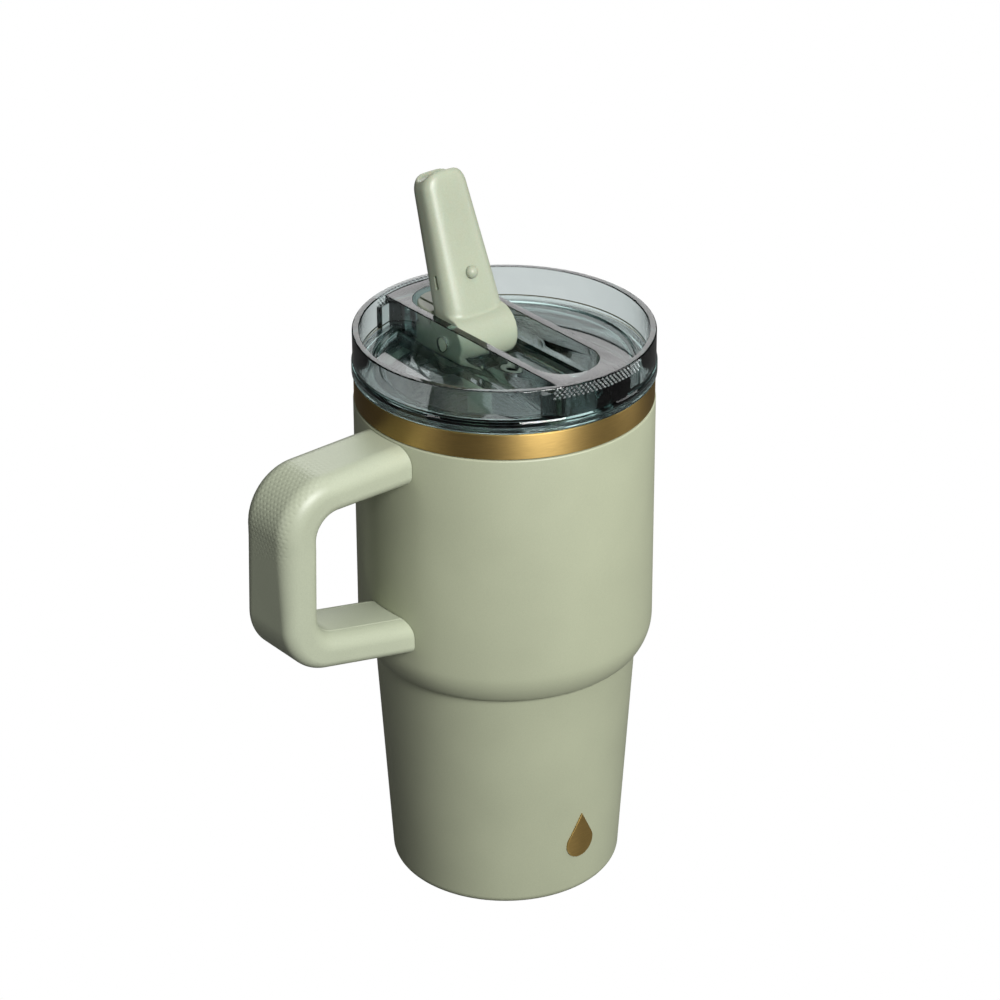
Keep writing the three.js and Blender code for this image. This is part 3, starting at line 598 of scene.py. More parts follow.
def dimple_tree():
    """Presses a staggered field of round dimples into the face whose points carry a run along the grip."""
    tree, add, given, names = tree_of("dimples", {
        "Pitch": "NodeSocketFloat", "Radius": "NodeSocketFloat", "Depth": "NodeSocketFloat",
        "Half Width": "NodeSocketFloat", "Start": "NodeSocketFloat", "End": "NodeSocketFloat",
        "Fade": "NodeSocketFloat", "Material": "NodeSocketMaterial",
    })
    pitch = given["Pitch"]
    run = add("GeometryNodeInputNamedAttribute", {"Name": "run"}, data_type="FLOAT").outputs["Attribute"]
    place = add("ShaderNodeSeparateXYZ", {0: add("GeometryNodeInputPosition").outputs[0]})
    row_step = calc(add, "MULTIPLY", pitch, 0.866)
    row = calc(add, "DIVIDE", run, row_step)
    row_index = calc(add, "ROUND", row)
    row_centre = calc(add, "MULTIPLY", row_index, row_step)
    odd = calc(add, "MULTIPLY", calc(add, "MODULO", row_index, 2.0), 0.5)
    column = calc(add, "ADD", calc(add, "DIVIDE", place.outputs["Y"], pitch), odd)
    column_index = calc(add, "ROUND", column)
    column_centre = calc(add, "MULTIPLY", calc(add, "SUBTRACT", column_index, odd), pitch)
    off_row = calc(add, "SUBTRACT", run, row_centre)
    off_column = calc(add, "MULTIPLY", calc(add, "SUBTRACT", column, column_index), pitch)
    row_square = calc(add, "MULTIPLY", off_row, off_row)
    column_square = calc(add, "MULTIPLY", off_column, off_column)
    distance = calc(add, "SQRT", calc(add, "ADD", row_square, column_square))
    start, end, fade = given["Start"], given["End"], given["Fade"]
    full, thin = calc(add, "ADD", start, fade), calc(add, "SUBTRACT", end, fade)
    rise = add("ShaderNodeMapRange", {"Value": row_centre, "From Min": start, "From Max": full})
    fall = add("ShaderNodeMapRange", {"Value": row_centre, "From Min": end, "From Max": thin})
    window = calc(add, "MULTIPLY", rise.outputs["Result"], fall.outputs["Result"])
    near = calc(add, "LESS_THAN", calc(add, "ABSOLUTE", column_centre), given["Half Width"])
    marked = calc(add, "GREATER_THAN", run, 0.0)
    radius = calc(add, "MULTIPLY", given["Radius"], calc(add, "MULTIPLY_ADD", window, 0.45, 0.55))
    bowl = add("ShaderNodeMapRange", {
        "Value": distance, "From Min": calc(add, "MULTIPLY", radius, 0.2), "From Max": radius,
        "To Min": 1.0, "To Max": 0.0,
    }, interpolation_type="SMOOTHSTEP").outputs["Result"]
    amount = calc(add, "MULTIPLY", calc(add, "MULTIPLY", bowl, window), calc(add, "MULTIPLY", near, marked))
    sink = calc(add, "MULTIPLY", calc(add, "MULTIPLY", amount, given["Depth"]), -1.0)
    normal = add("GeometryNodeInputNormal").outputs["Normal"]
    offset = add("ShaderNodeVectorMath", {0: normal, "Scale": sink}, operation="SCALE").outputs["Vector"]
    moved = add("GeometryNodeSetPosition", {"Geometry": given["Geometry"], "Offset": offset})
    real = add("GeometryNodeRealizeInstances", {"Geometry": moved.outputs[0]})
    coloured = add("GeometryNodeSetMaterial", {"Geometry": real.outputs[0], "Material": given["Material"]})
    add("NodeGroupOutput", {"Geometry": coloured.outputs[0]})
    return tree, names


def box_form(low, high):
    """A box between two corners."""
    form = bmesh.new()
    bmesh.ops.create_cube(form, size=1)
    size = Vector(high) - Vector(low)
    middle = (Vector(high) + Vector(low)) / 2
    place = Matrix.Translation(middle) @ Matrix.Diagonal((*size, 1))
    bmesh.ops.transform(form, matrix=place, verts=form.verts)
    return form


def tongue_room(node):
    """The room in an arm round its steel tongue."""
    low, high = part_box(node)
    margin = Vector((0.3, 0.3, 0.3)) * MM
    return box_form(low - margin, high + margin + Vector((10 * MM, 0, 0)))


handle_plastic = coated("handle_plastic", (0.402, 0.436, 0.322), 0.40, 2600.0, 0.03 * MM)
handle_rungs = rungs_between(finger_side(), outer_side(), 0.26 * MM)
handle_bar = ladder_form(handle_rungs, grip_section, 0.45)
handle_shell = add_object("handle_grip", handle_bar, handle_plastic, 60)
dimples, dimple_names = dimple_tree()
run_tree(handle_shell, dimples, dimple_names, {
    "Pitch": 1.65 * MM, "Radius": 0.52 * MM, "Depth": 0.11 * MM, "Half Width": 9.4 * MM,
    "Start": DIMPLE_RUN, "End": DIMPLE_RUN + 51 * MM, "Fade": 16 * MM,
    "Material": handle_plastic,
}, 60)

COVER_HALF = HANDLE_HALF - 4.6 * MM
COVER_DEPTH = 2.6 * MM
channel_half = COVER_HALF + 0.2 * MM
channel = [(-channel_half, 0), (channel_half, 0), (channel_half, 1), (-channel_half, 1)]
channel_rungs = rungs_between(finger_side(-4 * MM), finger_side(COVER_DEPTH + 0.3 * MM))
room_radius = BODY_RADIUS + 0.2 * MM
body_room = [(0, 0), (room_radius, 0), (room_radius, LID_TOP), (0, LID_TOP)]
combine(handle_shell, ladder_form(channel_rungs, lambda run: channel), "DIFFERENCE", 60)
combine(handle_shell, turned_form(body_room, 256), "DIFFERENCE", 60)
for node in ("upper_bracket", "lower_bracket"):
    combine(handle_shell, tongue_room(node), "DIFFERENCE", 60)
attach(handle_shell, "cup")
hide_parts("handle_shell")

# ---------------------------------------------------------------------------
# Handle cover and fixings. A moulded strip let into the finger side hides the
# two screws, which hold the handle to two steel tongues spot-welded to the cup.
# ---------------------------------------------------------------------------

cover_plastic = coated("cover_plastic", (0.376, 0.408, 0.304), 0.48, 2600.0, 0.04 * MM)
COVER_EDGE = 0.3 * MM
cover_outline = (
    arc(COVER_HALF - COVER_EDGE, COVER_EDGE, COVER_EDGE, -90, 0, 4)
    + [(COVER_HALF, COVER_DEPTH), (-COVER_HALF, COVER_DEPTH)]
    + arc(COVER_EDGE - COVER_HALF, COVER_EDGE, COVER_EDGE, 180, 270, 4)
)
cover_section = [(x, y / COVER_DEPTH) for x, y in cover_outline]
cover_rungs = rungs_between(finger_side(), finger_side(COVER_DEPTH))
cover_bar = ladder_form(cover_rungs, lambda run: cover_section)
handle_cover = add_object("finger_cover", cover_bar, cover_plastic, 40)
combine(handle_cover, turned_form(body_room, 256), "DIFFERENCE", 40)
for node in ("upper_screw", "lower_screw"):
    low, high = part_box(node)
    middle = (low.x + high.x) / 2
    if node == "upper_screw":
        seat = UPPER_ARM_BOTTOM + 1.2 * MM
    else:
        seat = along(LOWER_ARM_TOP, LOWER_RISE, -middle) - 3.2 * MM
    head = turned_form([(0, 0), (3 * MM, 0), (3 * MM, 2 * MM), (0, 2 * MM)], 32)
    bmesh.ops.translate(head, vec=(middle, 0, seat), verts=head.verts)
    combine(handle_cover, head, "DIFFERENCE", 40)
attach(handle_cover, "cup")
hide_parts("handle_cover")
brush_nodes(("upper_bracket", "lower_bracket", "upper_screw", "lower_screw"))

# ---------------------------------------------------------------------------
# Lid body. One clear smoke-tinted moulding: the polished rim wall, the deck and
# the skirt that enters the cup, and the raised bridge with the slot that the
# spout folds into. Two thicker stretches of the wall carry the finger grips.
# ---------------------------------------------------------------------------

LID_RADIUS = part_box("lid_body")[1].x
LID_BOTTOM = CUP_RIM + 0.3 * MM
BRIDGE_TOP = LID_TOP - 0.6 * MM
SEAL_RADIUS = 5.5 * MM
PIVOT = Vector((0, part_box("barrel_seal")[0].y + SEAL_RADIUS, BRIDGE_TOP - 6.9 * MM))
NUB_REACH = 18.7 * MM
SNAP_REACH = 17.9 * MM
VENT_Y = PIVOT.y - NUB_REACH
LID_WALL = 2.5 * MM
DECK_TOP = LID_BOTTOM + 4 * MM
SLOT_END = LID_RADIUS - 7.6 * MM
SLOT_HALF = 10.3 * MM
BRIDGE_HALF = SLOT_HALF + 2.8 * MM
SLOT_FLOOR = PIVOT.z - 5.7 * MM
SKIRT_RADIUS = MOUTH_RADIUS - 1.3 * MM
SKIRT_BOTTOM = CUP_RIM - 13.6 * MM
SEAL_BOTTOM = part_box("barrel_seal")[0].z
BOSS_BOTTOM = SEAL_BOTTOM - 2.4 * MM
GRIP_LOW = DECK_TOP + 5.5 * MM


def smoky_clear(name):
    """Clear plastic with a smoke tint that deepens with thickness, and a faint moulding flow."""
    material, add, link, shader = nodes_of(name)
    place = add("ShaderNodeTexCoord").outputs["Object"]
    flow = add("ShaderNodeTexNoise", {
        "Vector": place, "Scale": 130.0, "Detail": 1.0, "Distortion": 0.6,
    }).outputs["Fac"]
    link(two_tone(add, flow, (0.93, 0.937, 0.940), (0.96, 0.965, 0.967)), shader.inputs["Base Color"])
    link(spread(add, flow, 0.015, 0.05), shader.inputs["Roughness"])
    bump = add("ShaderNodeBump", {"Height": flow, "Strength": 0.03, "Distance": 0.05 * MM})
    link(bump.outputs["Normal"], shader.inputs["Normal"])
    shader.inputs["Transmission Weight"].default_value = 1.0
    shader.inputs["IOR"].default_value = 1.5
    smoke = add("ShaderNodeVolumeAbsorption", {"Color": (0.23, 0.37, 0.355, 1), "Density": 250.0})
    output = material.node_tree.nodes["Material Output"]
    link(smoke.outputs["Volume"], output.inputs["Volume"])
    shadow = add("ShaderNodeLightPath").outputs["Is Shadow Ray"]
    through = add("ShaderNodeBsdfTransparent", {"Color": (0.86, 0.90, 0.89, 1)})
    pick = add("ShaderNodeMixShader", {0: shadow, 1: shader.outputs[0], 2: through.outputs[0]})
    link(pick.outputs[0], output.inputs["Surface"])
    return material


clear_lid = smoky_clear("clear_lid")


def lid_wall_section():
    """The rim wall: rounded on top, with a shallow rebate round its inner foot."""
    inner = LID_RADIUS - LID_WALL
    return rounded([
        (inner, DECK_TOP, 0),
        (inner, LID_BOTTOM + 1.4 * MM, 0.3 * MM),
        (inner - 1 * MM, LID_BOTTOM + 0.4 * MM, 0.2 * MM),
        (inner - 1 * MM, LID_BOTTOM, 0),
        (LID_RADIUS, LID_BOTTOM, 0.5 * MM),
        (LID_RADIUS, LID_BOTTOM + 3.4 * MM, 0.4 * MM),
        (LID_RADIUS - 0.35 * MM, LID_BOTTOM + 3.9 * MM, 0.4 * MM),
        (LID_RADIUS - 0.35 * MM, LID_TOP, 0.45 * MM),
        (inner, LID_TOP, 0.45 * MM),
        (inner, DECK_TOP, 0),
    ], 7)


def deck_section():
    """The deck with its lower middle, and the skirt with the gasket's groove."""
    under = DECK_TOP - 2.4 * MM
    edge = LID_RADIUS - LID_WALL + 0.6 * MM
    groove_low, groove_high = CUP_RIM - 6.8 * MM, CUP_RIM - 3.2 * MM
    inside = SKIRT_RADIUS - 2.2 * MM
    return rounded([
        (0, under, 0),
        (inside, under, 1 * MM),
        (inside, SKIRT_BOTTOM, 0.4 * MM),
        (SKIRT_RADIUS, SKIRT_BOTTOM, 0.6 * MM),
        (SKIRT_RADIUS, groove_low, 0),
        (SKIRT_RADIUS - 1.2 * MM, groove_low, 0),
        (SKIRT_RADIUS - 1.2 * MM, groove_high, 0),
        (SKIRT_RADIUS, groove_high, 0),
        (SKIRT_RADIUS, under, 0.3 * MM),
        (edge, under, 0),
        (edge, DECK_TOP, 0),
        (edge - 4.2 * MM, DECK_TOP, 0.4 * MM),
        (edge - 4.8 * MM, DECK_TOP - 0.6 * MM, 0.4 * MM),
        (26 * MM, DECK_TOP - 0.6 * MM, 0.3 * MM),
        (25.6 * MM, DECK_TOP - 0.85 * MM, 0.3 * MM),
        (0, DECK_TOP - 0.85 * MM, 0),
    ], 4)


def stadium(half_width, half_length, steps=20):
    """A slot's outline: two half-circles joined by straight sides along Y."""
    straight = half_length - half_width
    return arc(0, straight, half_width, 0, 180, steps) + arc(0, -straight, half_width, 180, 360, steps)


def stacked_form(outlines):
    """A closed form through outlines of equal length, each with its height, from the lowest up."""
    form = bmesh.new()
    rows = [[form.verts.new((x, y, z)) for x, y in outline] for outline, z in outlines]
    for near, far in zip(rows, rows[1:]):
        for j in range(len(near)):
            k = (j + 1) % len(near)
            form.faces.new((near[j], near[k], far[k], far[j]))
    form.faces.new(reversed(rows[0]))
    form.faces.new(rows[-1])
    return form


def slot_form():
    """What the slot takes away, with a rounded foot and an eased top edge."""
    foot, ease = 1.2 * MM, 0.3 * MM
    turns = [math.radians(t) for t in (0, 22, 45, 68, 90)]
    rows = []
    for turn in turns:
        out, up = foot * math.sin(turn), foot * (1 - math.cos(turn))
        rows.append((stadium(SLOT_HALF - foot + out, SLOT_END - foot + out), SLOT_FLOOR + up))
    for turn in turns:
        out, up = ease * (1 - math.cos(turn)), ease * math.sin(turn)
        rows.append((stadium(SLOT_HALF + out, SLOT_END + out), BRIDGE_TOP - ease + up))
    rows.append((stadium(SLOT_HALF + ease, SLOT_END + ease), LID_TOP + 1 * MM))
    return stacked_form(rows)


def bridge_form():
    """The raised bridge with eased long edges, long enough to run into the rim wall."""
    low = SLOT_FLOOR - 2.2 * MM
    eased = (BRIDGE_HALF, BRIDGE_TOP, 0.35 * MM)
    right = rounded([(0, low, 0), (BRIDGE_HALF, low, 0), eased, (0, BRIDGE_TOP, 0)], 6)[1:-1]
    outline = right + [(-x, z) for x, z in reversed(right)]
    form = bmesh.new()
    rows = [[form.verts.new((x, y, z)) for x, z in outline] for y in (-LID_RADIUS, LID_RADIUS)]
    for j in range(len(outline)):
        k = (j + 1) % len(outline)
        form.faces.new((rows[0][j], rows[0][k], rows[1][k], rows[1][j]))
    form.faces.new(rows[0])
    form.faces.new(reversed(rows[1]))
    return form


def side_axle(radius, low, high, y, z, steps=96):
    """A closed cylinder along X between two places, about an axis at (y, z)."""
    form = turned_form([(0, low), (radius, low), (radius, high), (0, high)], steps)
    turn = Matrix.Rotation(math.pi / 2, 4, "Y")
    bmesh.ops.transform(form, matrix=Matrix.Translation((0, y, z)) @ turn, verts=form.verts)
    return form


def post_form(radius, low, high, y=0.0, steps=64):
    """An upright cylinder on the lid's middle line."""
    return turned_form([(0, low), (radius, low), (radius, high), (0, high)], steps, (0, y))


def lid_mould():
    """The lid's body, joined and then cut."""
    body = add_object("lid_moulding", turned_form(deck_section(), 192), clear_lid)
    bridge = add_object("bridge", bridge_form(), clear_lid)
    in_wall = post_form(LID_RADIUS - LID_WALL + 0.8 * MM, DECK_TOP - 2 * MM, LID_TOP, 0, 192)
    combine(bridge, in_wall, "INTERSECT")
    keel = add_object("keel", bridge_form(), clear_lid)
    combine(keel, post_form(SKIRT_RADIUS - 1 * MM, 0, DECK_TOP - 1.5 * MM, 0, 192), "INTERSECT")
    for part in (bridge, keel):
        form = bmesh.new()
        form.from_mesh(part.data)
        bpy.data.objects.remove(part)
        combine(body, form, "UNION")
    combine(body, turned_form(lid_wall_section(), 256), "UNION")
    for turn in (90, 270):
        block = sector_form(LID_RADIUS - 4.3 * MM, LID_RADIUS - LID_WALL + 0.5 * MM, DECK_TOP - 1 * MM,
                            LID_TOP - 2.4 * MM, turn, 49, 48)
        combine(body, block, "UNION")
    housing = side_axle(10.2 * MM, -BRIDGE_HALF, BRIDGE_HALF, PIVOT.y, PIVOT.z)
    bmesh.ops.bisect_plane(housing, geom=housing.verts[:] + housing.edges[:] + housing.faces[:],
                           plane_co=(0, 0, DECK_TOP - 1.5 * MM), plane_no=(0, 0, 1), clear_outer=True)
    bmesh.ops.holes_fill(housing, edges=[e for e in housing.edges if e.is_boundary])
    combine(body, housing, "UNION")
    combine(body, post_form(8 * MM, BOSS_BOTTOM, SLOT_FLOOR, PIVOT.y), "UNION")
    combine(body, post_form(3.45 * MM, BOSS_BOTTOM - 8.5 * MM, BOSS_BOTTOM + 1 * MM, PIVOT.y), "UNION")
    for turn in (0, 120, 240):
        lug = sector_form(SKIRT_RADIUS - 0.5 * MM, MOUTH_RADIUS - 0.25 * MM, SKIRT_BOTTOM + 0.7 * MM,
                          SKIRT_BOTTOM + 2.9 * MM, turn, 26)
        combine(body, lug, "UNION")
    combine(body, slot_form(), "DIFFERENCE")
    combine(body, side_axle(8.4 * MM, -SLOT_HALF, SLOT_HALF, PIVOT.y, PIVOT.z), "DIFFERENCE")
    pin_end = SLOT_HALF + 1.6 * MM
    combine(body, side_axle(2.3 * MM, -pin_end, pin_end, PIVOT.y, PIVOT.z, 48), "DIFFERENCE")
    combine(body, post_form(5.8 * MM, SEAL_BOTTOM - 0.3 * MM, PIVOT.z, PIVOT.y), "DIFFERENCE")
    combine(body, post_form(2.35 * MM, BOSS_BOTTOM - 10 * MM, PIVOT.z, PIVOT.y, 48), "DIFFERENCE")
    combine(body, post_form(4 * MM, SLOT_FLOOR - 1.5 * MM, SLOT_FLOOR + 1 * MM, VENT_Y), "DIFFERENCE")
    combine(body, post_form(2.2 * MM, SLOT_FLOOR - 4 * MM, SLOT_FLOOR, VENT_Y, 48), "DIFFERENCE")
    for side in (-1, 1):
        bump = bmesh.new()
        bmesh.ops.create_uvsphere(bump, u_segments=32, v_segments=16, radius=1.8 * MM)
        shift = Matrix.Translation((side * (SLOT_HALF + 1.3 * MM), PIVOT.y - SNAP_REACH, PIVOT.z))
        bmesh.ops.transform(bump, matrix=shift, verts=bump.verts)
        combine(body, bump, "UNION")
    return body


def grip_tree():
    """Rows of small raised pyramids round the rim, every second row set over by half a step."""
    tree, add, given, names = tree_of("rim_grips", {
        "Radius": "NodeSocketFloat", "Low": "NodeSocketFloat", "Row Step": "NodeSocketFloat",
        "Rows": "NodeSocketInt", "Columns": "NodeSocketInt", "Column Turn": "NodeSocketFloat",
        "Size": "NodeSocketFloat", "Height": "NodeSocketFloat", "Middle": "NodeSocketFloat",
        "Material": "NodeSocketMaterial",
    })
    total = calc(add, "MULTIPLY", given["Rows"], given["Columns"])
    points = add("GeometryNodePoints", {"Count": total})
    index = add("GeometryNodeInputIndex").outputs[0]
    row = calc(add, "FLOOR", calc(add, "DIVIDE", index, given["Columns"]))
    column = calc(add, "SUBTRACT", index, calc(add, "MULTIPLY", row, given["Columns"]))
    half = calc(add, "MULTIPLY", calc(add, "SUBTRACT", given["Columns"], 1.0), 0.5)
    odd = calc(add, "MULTIPLY", calc(add, "MODULO", row, 2.0), 0.5)
    shifted = calc(add, "ADD", calc(add, "SUBTRACT", column, half), odd)
    turn = calc(add, "ADD", given["Middle"], calc(add, "MULTIPLY", shifted, given["Column Turn"]))
    x = calc(add, "MULTIPLY", calc(add, "COSINE", turn), given["Radius"])
    y = calc(add, "MULTIPLY", calc(add, "SINE", turn), given["Radius"])
    z = calc(add, "ADD", given["Low"], calc(add, "MULTIPLY", row, given["Row Step"]))
    place = add("ShaderNodeCombineXYZ", {"X": x, "Y": y, "Z": z}).outputs[0]
    placed = add("GeometryNodeSetPosition", {"Geometry": points.outputs[0], "Position": place})
    stud = add("GeometryNodeMeshCone", {
        "Vertices": 4, "Depth": given["Height"],
        "Radius Top": calc(add, "MULTIPLY", given["Size"], 0.25), "Radius Bottom": given["Size"],
    })
    facing = add("ShaderNodeCombineXYZ", {"Y": math.pi / 2, "Z": turn}).outputs[0]
    studs = add("GeometryNodeInstanceOnPoints", {
        "Points": placed.outputs[0], "Instance": stud.outputs[0], "Rotation": facing,
    })
    real = add("GeometryNodeRealizeInstances", {"Geometry": studs.outputs[0]})
    coloured = add("GeometryNodeSetMaterial", {"Geometry": real.outputs[0], "Material": given["Material"]})
    add("NodeGroupOutput", {"Geometry": coloured.outputs[0]})
    return tree, names


# The studs get their own copy of the clear lid plastic that lets a little less light through, so it turns
# pale: a painted highlight that makes the studs read as light dots.
pale_highlight_clear = smoky_clear("pale_highlight_clear")
pale_highlight_clear.node_tree.nodes["Principled BSDF"].inputs["Transmission Weight"].default_value = 0.93


def rim_studs(middle):
    """One finger grip's studs, which stand on the rim wall."""
    studs = bpy.data.objects.new("rim_studs", bpy.data.meshes.new("rim_studs"))
    bpy.context.scene.collection.objects.link(studs)
    tree, names = grip_tree()
    run_tree(studs, tree, names, {
        "Radius": LID_RADIUS - 0.50 * MM, "Low": GRIP_LOW + 0.6 * MM, "Row Step": 0.85 * MM,
        "Rows": 4, "Columns": 22, "Column Turn": 1.5 * MM / LID_RADIUS,
        "Size": 0.5 * MM, "Height": 0.6 * MM,
        "Middle": math.radians(middle), "Material": pale_highlight_clear,
    }, 20)
    return studs


lid_body = lid_mould()
for middle in (-90, 90):
    studs = rim_studs(middle)
    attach(studs, "lid")
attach(lid_body, "lid")
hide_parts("lid_body")

# ---------------------------------------------------------------------------
# Gasket. A soft silicone ring with two lips, stretched into the groove of the
# lid's skirt, that seals against the mouth of the cup.
# ---------------------------------------------------------------------------

seal_rubber = coated("seal_rubber", (0.20, 0.225, 0.18), 0.62, 1800.0, 0.04 * MM, 0.3)
GASKET_LOW, GASKET_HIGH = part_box("lid_gasket")[0].z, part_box("lid_gasket")[1].z


def gasket_section():
    """Two rounded lips with a valley between them."""
    inner, outer = SKIRT_RADIUS - 0.9 * MM, MOUTH_RADIUS - 0.2 * MM
    middle = (GASKET_LOW + GASKET_HIGH) / 2
    return rounded([
        (inner, middle, 0),
        (inner, GASKET_LOW, 0.2 * MM),
        (outer, GASKET_LOW, 0.35 * MM),
        (outer, GASKET_LOW + 0.8 * MM, 0.3 * MM),
        (outer - 0.8 * MM, middle, 0.3 * MM),
        (outer, GASKET_HIGH - 0.8 * MM, 0.3 * MM),
        (outer, GASKET_HIGH, 0.35 * MM),
        (inner, GASKET_HIGH, 0.2 * MM),
        (inner, middle, 0),
    ], 5)


lid_gasket = add_object("lid_seal_ring", turned_form(gasket_section()), seal_rubber, 50)
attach(lid_gasket, "gasket")
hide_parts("lid_gasket")

# ---------------------------------------------------------------------------
# Spout. A moulded mouthpiece on a hinge barrel: a flattened tapering blade with
# a saddle-shaped tip and an oval mouth, a nub on its front that plugs the air
# vent when it is folded down, and a small slot in each side that snaps in place.
# ---------------------------------------------------------------------------

SPOUT_LENGTH = PIVOT.y + SLOT_END - 1.4 * MM
SPOUT_HALF = 9.9 * MM
SPOUT_BACK = 0.8 * MM
SPOUT_LEAN = Matrix.Translation(PIVOT) @ Matrix.Rotation(math.radians(-20), 4, "X")
TIP_ROUND = 5 * MM
spout_plastic = coated("spout_plastic", (0.358, 0.392, 0.292), 0.36, 2200.0, 0.02 * MM)
spout_shader = spout_plastic.node_tree.nodes["Principled BSDF"]
spout_shader.inputs["Subsurface Weight"].default_value = 0.08
spout_shader.inputs["Subsurface Scale"].default_value = 1.2 * MM


def spout_size(reach):
    """Half width and half depth of the blade at a distance from the pivot."""
    taper = min(1.1, max(0.0, (reach - 10 * MM) / (SPOUT_LENGTH - 13.6 * MM)))
    turn = max(0.0, reach - (SPOUT_LENGTH - TIP_ROUND)) / TIP_ROUND
    shrink = 1 - math.sqrt(max(0.0, 1 - turn * turn))
    width = SPOUT_HALF * (1 - 0.212 * taper) - 0.8 * TIP_ROUND * shrink
    return width, (6 - 1.3 * taper - 1.5 * shrink * shrink) * MM


def blade_form():
    """Squared-off ovals joined from the root of the blade to its tip."""
    around, squareness = 72, 2 / 3.5
    straight = [2 * MM + (SPOUT_LENGTH - TIP_ROUND - 2 * MM) * i / 12 for i in range(12)]
    rounding = [SPOUT_LENGTH - TIP_ROUND * (1 - math.sin(math.pi / 2 * i / 14)) for i in range(15)]
    outlines = []
    for reach in straight + rounding:
        width, depth = spout_size(reach)
        outline = []
        for i in range(around):
            turn = 2 * math.pi * i / around
            c, s = math.cos(turn), math.sin(turn)
            across = width * math.copysign(abs(c) ** squareness, c)
            outline.append((across, SPOUT_BACK + depth * math.copysign(abs(s) ** squareness, s)))
        outlines.append((outline, reach))
    return stacked_form(outlines)


def spout_mould():
    """The spout, drawn upright about its pivot."""
    spout = add_object("flip_spout", blade_form(), spout_plastic)
    combine(spout, side_axle(8 * MM, -SPOUT_HALF, SPOUT_HALF, 0, 0, 128), "UNION")
    saddle = side_axle(3.6 * MM, -20 * MM, 20 * MM, SPOUT_BACK, SPOUT_LENGTH + 1.6 * MM, 64)
    combine(spout, saddle, "DIFFERENCE")
    remesh = spout.modifiers.new("even", "REMESH")
    remesh.mode = "VOXEL"
    remesh.voxel_size = 0.34 * MM
    ease = spout.modifiers.new("ease", "SMOOTH")
    ease.factor = 0.5
    ease.iterations = 9
    settle(spout, 40)
    pin_end = SPOUT_HALF + 1.6 * MM
    combine(spout, side_axle(2 * MM, -pin_end, pin_end, 0, 0, 48), "UNION", 40)
    nub = bmesh.new()
    bmesh.ops.create_uvsphere(nub, u_segments=40, v_segments=20, radius=1.9 * MM)
    stretch = Matrix.Translation((0, -5.5 * MM, NUB_REACH)) @ Matrix.Diagonal((1, 0.84, 1, 1))
    bmesh.ops.transform(nub, matrix=stretch, verts=nub.verts)
    combine(spout, nub, "UNION", 40)
    mouth = turned_form([(0, -7 * MM), (2.3 * MM, -7 * MM), (2.3 * MM, 7 * MM), (0, 7 * MM)], 48)
    widen = Matrix.Translation((0, SPOUT_BACK, SPOUT_LENGTH - 4 * MM)) @ Matrix.Diagonal((1.8, 1, 1, 1))
    bmesh.ops.transform(mouth, matrix=widen, verts=mouth.verts)
    combine(spout, mouth, "DIFFERENCE", 40)
    bore = [(0, 0), (2.7 * MM, 0), (2.7 * MM, SPOUT_LENGTH - 5 * MM), (0, SPOUT_LENGTH - 5 * MM)]
    combine(spout, turned_form(bore, 48, (0, SPOUT_BACK / 2)), "DIFFERENCE", 40)
    inlet = turned_form([(0, -16 * MM), (2.7 * MM, -16 * MM), (2.7 * MM, 1 * MM), (0, 1 * MM)], 48)
    bmesh.ops.transform(inlet, matrix=Matrix.Rotation(math.radians(20), 4, "X"), verts=inlet.verts)
    combine(spout, inlet, "DIFFERENCE", 40)
    for side in (-1, 1):
        outline = stadium(0.7 * MM, 2.2 * MM, 10)
        notch = stacked_form([(outline, -0.8 * MM), (outline, 0.8 * MM)])
        place = Matrix.Translation((spout_size(SNAP_REACH)[0] * side, 0, SNAP_REACH))
        turn = Matrix.Rotation(math.pi / 2, 4, "Y") @ Matrix.Rotation(math.pi / 2, 4, "Z")
        bmesh.ops.transform(notch, matrix=place @ turn, verts=notch.verts)
        combine(spout, notch, "DIFFERENCE", 40)
    spout.data.transform(SPOUT_LEAN)
    return spout


spout = spout_mould()
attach(spout, "spout")
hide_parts("spout")

# ---------------------------------------------------------------------------
# Spout seat. The fixed block that fills the slot behind the barrel, hollowed to
# the barrel's roundness, with two grooves in its top. The open spout rests on it.
# ---------------------------------------------------------------------------

seat_plastic = coated("seat_plastic", (0.368, 0.398, 0.306), 0.42, 2200.0, 0.03 * MM)


def seat_block():
    """The seat with an eased top edge, cut to the barrel and to the open spout's back."""
    margin, ease = 1.3 * MM, 0.6 * MM
    low, high = SLOT_FLOOR + 0.3 * MM, BRIDGE_TOP - 0.7 * MM
    rows = [(stadium(SLOT_HALF - margin, SLOT_END - margin), low)]
    for turn in (0, 30, 60, 90):
        step = ease * (1 - math.cos(math.radians(turn)))
        outline = stadium(SLOT_HALF - margin - step, SLOT_END - margin - step)
        rows.append((outline, high - ease + ease * math.sin(math.radians(turn))))
    seat = add_object("spout_rest", stacked_form(rows), seat_plastic)
    combine(seat, box_form((-0.02, PIVOT.y + 3 * MM, 0.1), (0.02, 0.06, 0.2)), "INTERSECT")
    combine(seat, side_axle(8.4 * MM, -0.02, 0.02, PIVOT.y, PIVOT.z, 128), "DIFFERENCE")
    open_spout = box_form((-0.02, -0.02, -0.02), (0.02, 7.3 * MM, 0.02))
    bmesh.ops.transform(open_spout, matrix=SPOUT_LEAN, verts=open_spout.verts)
    combine(seat, open_spout, "DIFFERENCE")
    for side in (-1, 1):
        x = side * 5 * MM
        groove = box_form((x - 0.5 * MM, 0, high - 0.8 * MM), (x + 0.5 * MM, 0.06, high + 1 * MM))
        combine(seat, groove, "DIFFERENCE")
    return seat


spout_seat = seat_block()
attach(spout_seat, "lid")
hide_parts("spout_seat")

# ---------------------------------------------------------------------------
# Barrel seal and vent seal. Two small silicone rings pressed into the lid: one
# under the barrel that closes the drink's way, one that the spout's nub plugs.
# ---------------------------------------------------------------------------


